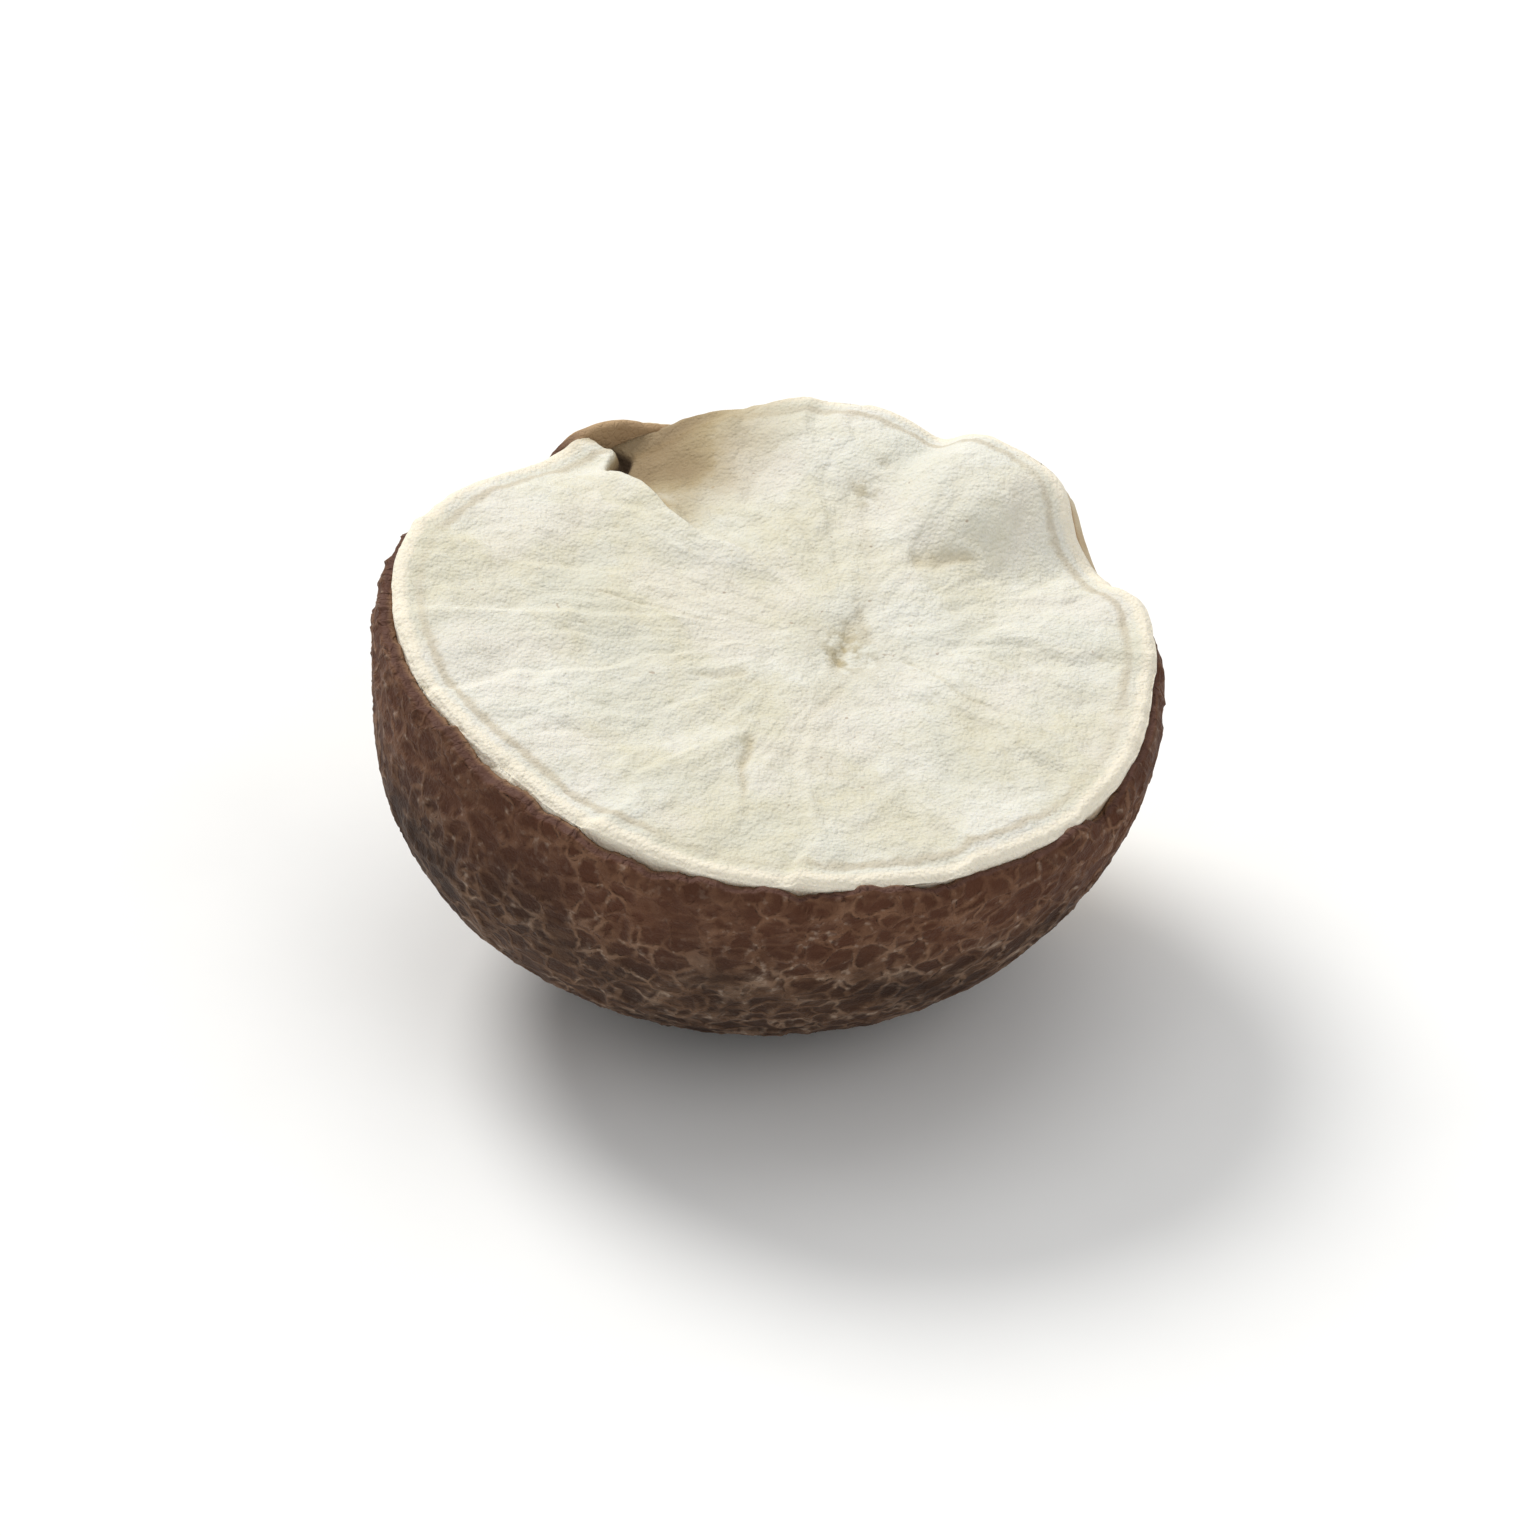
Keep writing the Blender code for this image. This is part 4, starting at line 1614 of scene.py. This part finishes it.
        cream = kit.lay(self.cream, self.cream_pale, patches)
        tan = kit.lay(self.tan_dark, self.tan, inside)
        cap = kit.mix(tan, cream, inside.rise(*self.tan_band))
        cap = kit.lay(cap, self.grimy, grime)
        cap = kit.mix(cap, self.tan.colour, (floor * (mottle * 0.9 + fibres - 0.55)).clamped())
        cap = kit.mix(cap, self.scar_brown, (foot * (patches * 1.6 + fibres - 0.85)).clamped() * 0.8)
        cap = kit.mix(cap, self.scar_brown, (pip * (fibres * 1.4 - 0.05)).clamped() * 0.75)
        return kit.mix(skin, cap, inside.rise(*self.cap_edge))

    def lay_edge(self, kit: NodeKit, colour: Any, fine: Value) -> bpy.types.NodeSocket:
        """Paint the broken edge and the inner side of the skin, which are paler on the cap.

        Args:
            kit: the material's nodes.
            colour: colour of the outside.
            fine: fine noise over the surface.

        Returns:
            The colour with the edge on it.
        """
        through = kit.mark(Mark.BROKEN_EDGE)
        pale = kit.mark(Mark.CAP).rise(*self.pale_start)
        edge = kit.mix(self.broken, self.pale_edge, pale)
        lining = kit.mix(self.lining, self.pale_lining, pale)
        inner = through.rise(*self.lining_start).stirred(fine, 0.5).clamped()
        return kit.mix(colour, kit.mix(edge, lining, inner), through.rise(*self.edge_start))


@dataclass(frozen=True)
class FloorFinish:
    """Plain matt white paper."""

    name: str = "pale_paper"
    fibres: Mottling = Mottling(2.5, 4.0)
    shade: Colour = (0.885, 0.885, 0.875)
    white: Paint = Paint((0.90, 0.90, 0.89), 0.3, 0.7)

    def make(self) -> bpy.types.Material:
        """Build the material.

        Returns:
            The material.
        """
        kit = NodeKit(self.name)
        colour = kit.lay(self.shade, self.white, kit.noise(kit.place(), self.fibres))
        return kit.surface({"Base Color": colour, "Roughness": 0.95, "Specular IOR Level": 0.1})


@dataclass(frozen=True)
class Softbox:
    """One large soft lamp that faces the part, in metres and watts."""

    name: str
    azimuth: float
    elevation: float
    distance: float
    size: float
    power: float
    colour: Colour = (1.0, 1.0, 1.0)

    def hang(self, aim: Vector) -> None:
        """Place the lamp and turn it to the part.

        Args:
            aim: the point that it faces.
        """
        lamp = bpy.data.lights.new(self.name, "AREA")
        lamp.shape = "DISK"
        lamp.size = self.size
        lamp.energy = self.power
        lamp.color = self.colour
        place_facing(lamp, aim, self.azimuth, self.elevation, self.distance)


def place_facing(
    data: bpy.types.ID, aim: Vector, azimuth: float, elevation: float, distance: float
) -> bpy.types.Object:
    """Place a lamp or a camera so that it looks at a point.

    Args:
        data: the lamp or the camera.
        aim: the point.
        azimuth: heading from the point to it.
        elevation: elevation from the point to it.
        distance: distance from the point to it, in metres.

    Returns:
        The object that holds it, linked to the scene.
    """
    holder = bpy.data.objects.new(data.name, data)
    away = Vector(direction(azimuth, elevation).tolist())
    holder.location = aim + away * distance
    holder.rotation_euler = away.to_track_quat("Z", "Y").to_euler()
    bpy.context.scene.collection.objects.link(holder)
    return holder


@dataclass(frozen=True)
class Studio:
    """Floor, lamps and camera, in metres and watts."""

    floor_radius: float = 0.60
    floor_columns: int = 96
    lamps: tuple[Softbox, ...] = (
        Softbox("key_lamp", 126.0, 46.0, 0.22, 0.10, 0.34, (1.0, 0.99, 0.97)),
        Softbox("fill_lamp", -40.0, 40.0, 0.26, 0.20, 0.08, (0.97, 0.98, 1.0)),
        Softbox("top_lamp", 60.0, 75.0, 0.24, 0.18, 0.08),
    )
    world_light: float = 0.55
    camera_azimuth: float = -90.0
    camera_elevation: float = 35.5
    camera_distance: float = 0.22
    lens: float = 455.0
    sensor: float = 36.0
    clip_start: float = 0.001

    def build(self, low: Vector, high: Vector) -> None:
        """Put the part in its studio.

        Args:
            low: lowest corner of the part.
            high: highest corner of the part.
        """
        aim = (low + high) / 2.0
        self.lay_floor(low.z)
        for lamp in self.lamps:
            lamp.hang(aim)
        self.set_world()
        self.set_camera(aim)
        bpy.context.scene.view_settings.view_transform = "Standard"

    def lay_floor(self, height: float) -> None:
        """Lay a round floor.

        Args:
            height: height of the floor.
        """
        points = direction(azimuths(self.floor_columns), 0.0) * self.floor_radius
        points[:, 2] = height
        mesh = bpy.data.meshes.new("floor")
        mesh.from_pydata(points.tolist(), [], [list(range(self.floor_columns))])
        mesh.materials.append(FloorFinish().make())
        floor = bpy.data.objects.new("floor", mesh)
        bpy.context.scene.collection.objects.link(floor)
        floor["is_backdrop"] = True

    def set_world(self) -> None:
        """Light everything a little from all sides."""
        world = bpy.data.worlds.new("studio_air")
        world.use_nodes = True
        background = world.node_tree.nodes["Background"]
        background.inputs["Color"].default_value = (1.0, 1.0, 1.0, 1.0)
        background.inputs["Strength"].default_value = self.world_light
        bpy.context.scene.world = world

    def set_camera(self, aim: Vector) -> None:
        """Look at the part from the height that the photograph was taken from.

        Args:
            aim: the point that the camera looks at.
        """
        camera = bpy.data.cameras.new("camera")
        camera.lens = self.lens
        camera.sensor_width = self.sensor
        camera.clip_start = self.clip_start
        stand = (self.camera_azimuth, self.camera_elevation, self.camera_distance)
        bpy.context.scene.camera = place_facing(camera, aim, *stand)


def main() -> None:
    """Build both pieces in place of the imported solids, and the studio round them."""
    logging.basicConfig(level=logging.INFO, format="%(message)s")
    cad_low, cad_high = (Vector(corner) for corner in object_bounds())
    seed, fracture = Seed(), Break()
    kernel = Kernel(seed, fracture, StarchFinish()).build()
    coat = SeedCoat(seed, fracture, Cap(), SkinFinish()).build()
    for piece, node, slot in ((kernel, "kernel", "kernel_starch"), (coat, "seed_coat", "seed_coat_skin")):
        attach(piece, "root")
        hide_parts(node)
        log.info("%s: %d faces", piece.name, len(piece.data.polygons))
    Studio().build(cad_low, cad_high)
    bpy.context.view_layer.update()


if __name__ == "__main__":
    main()
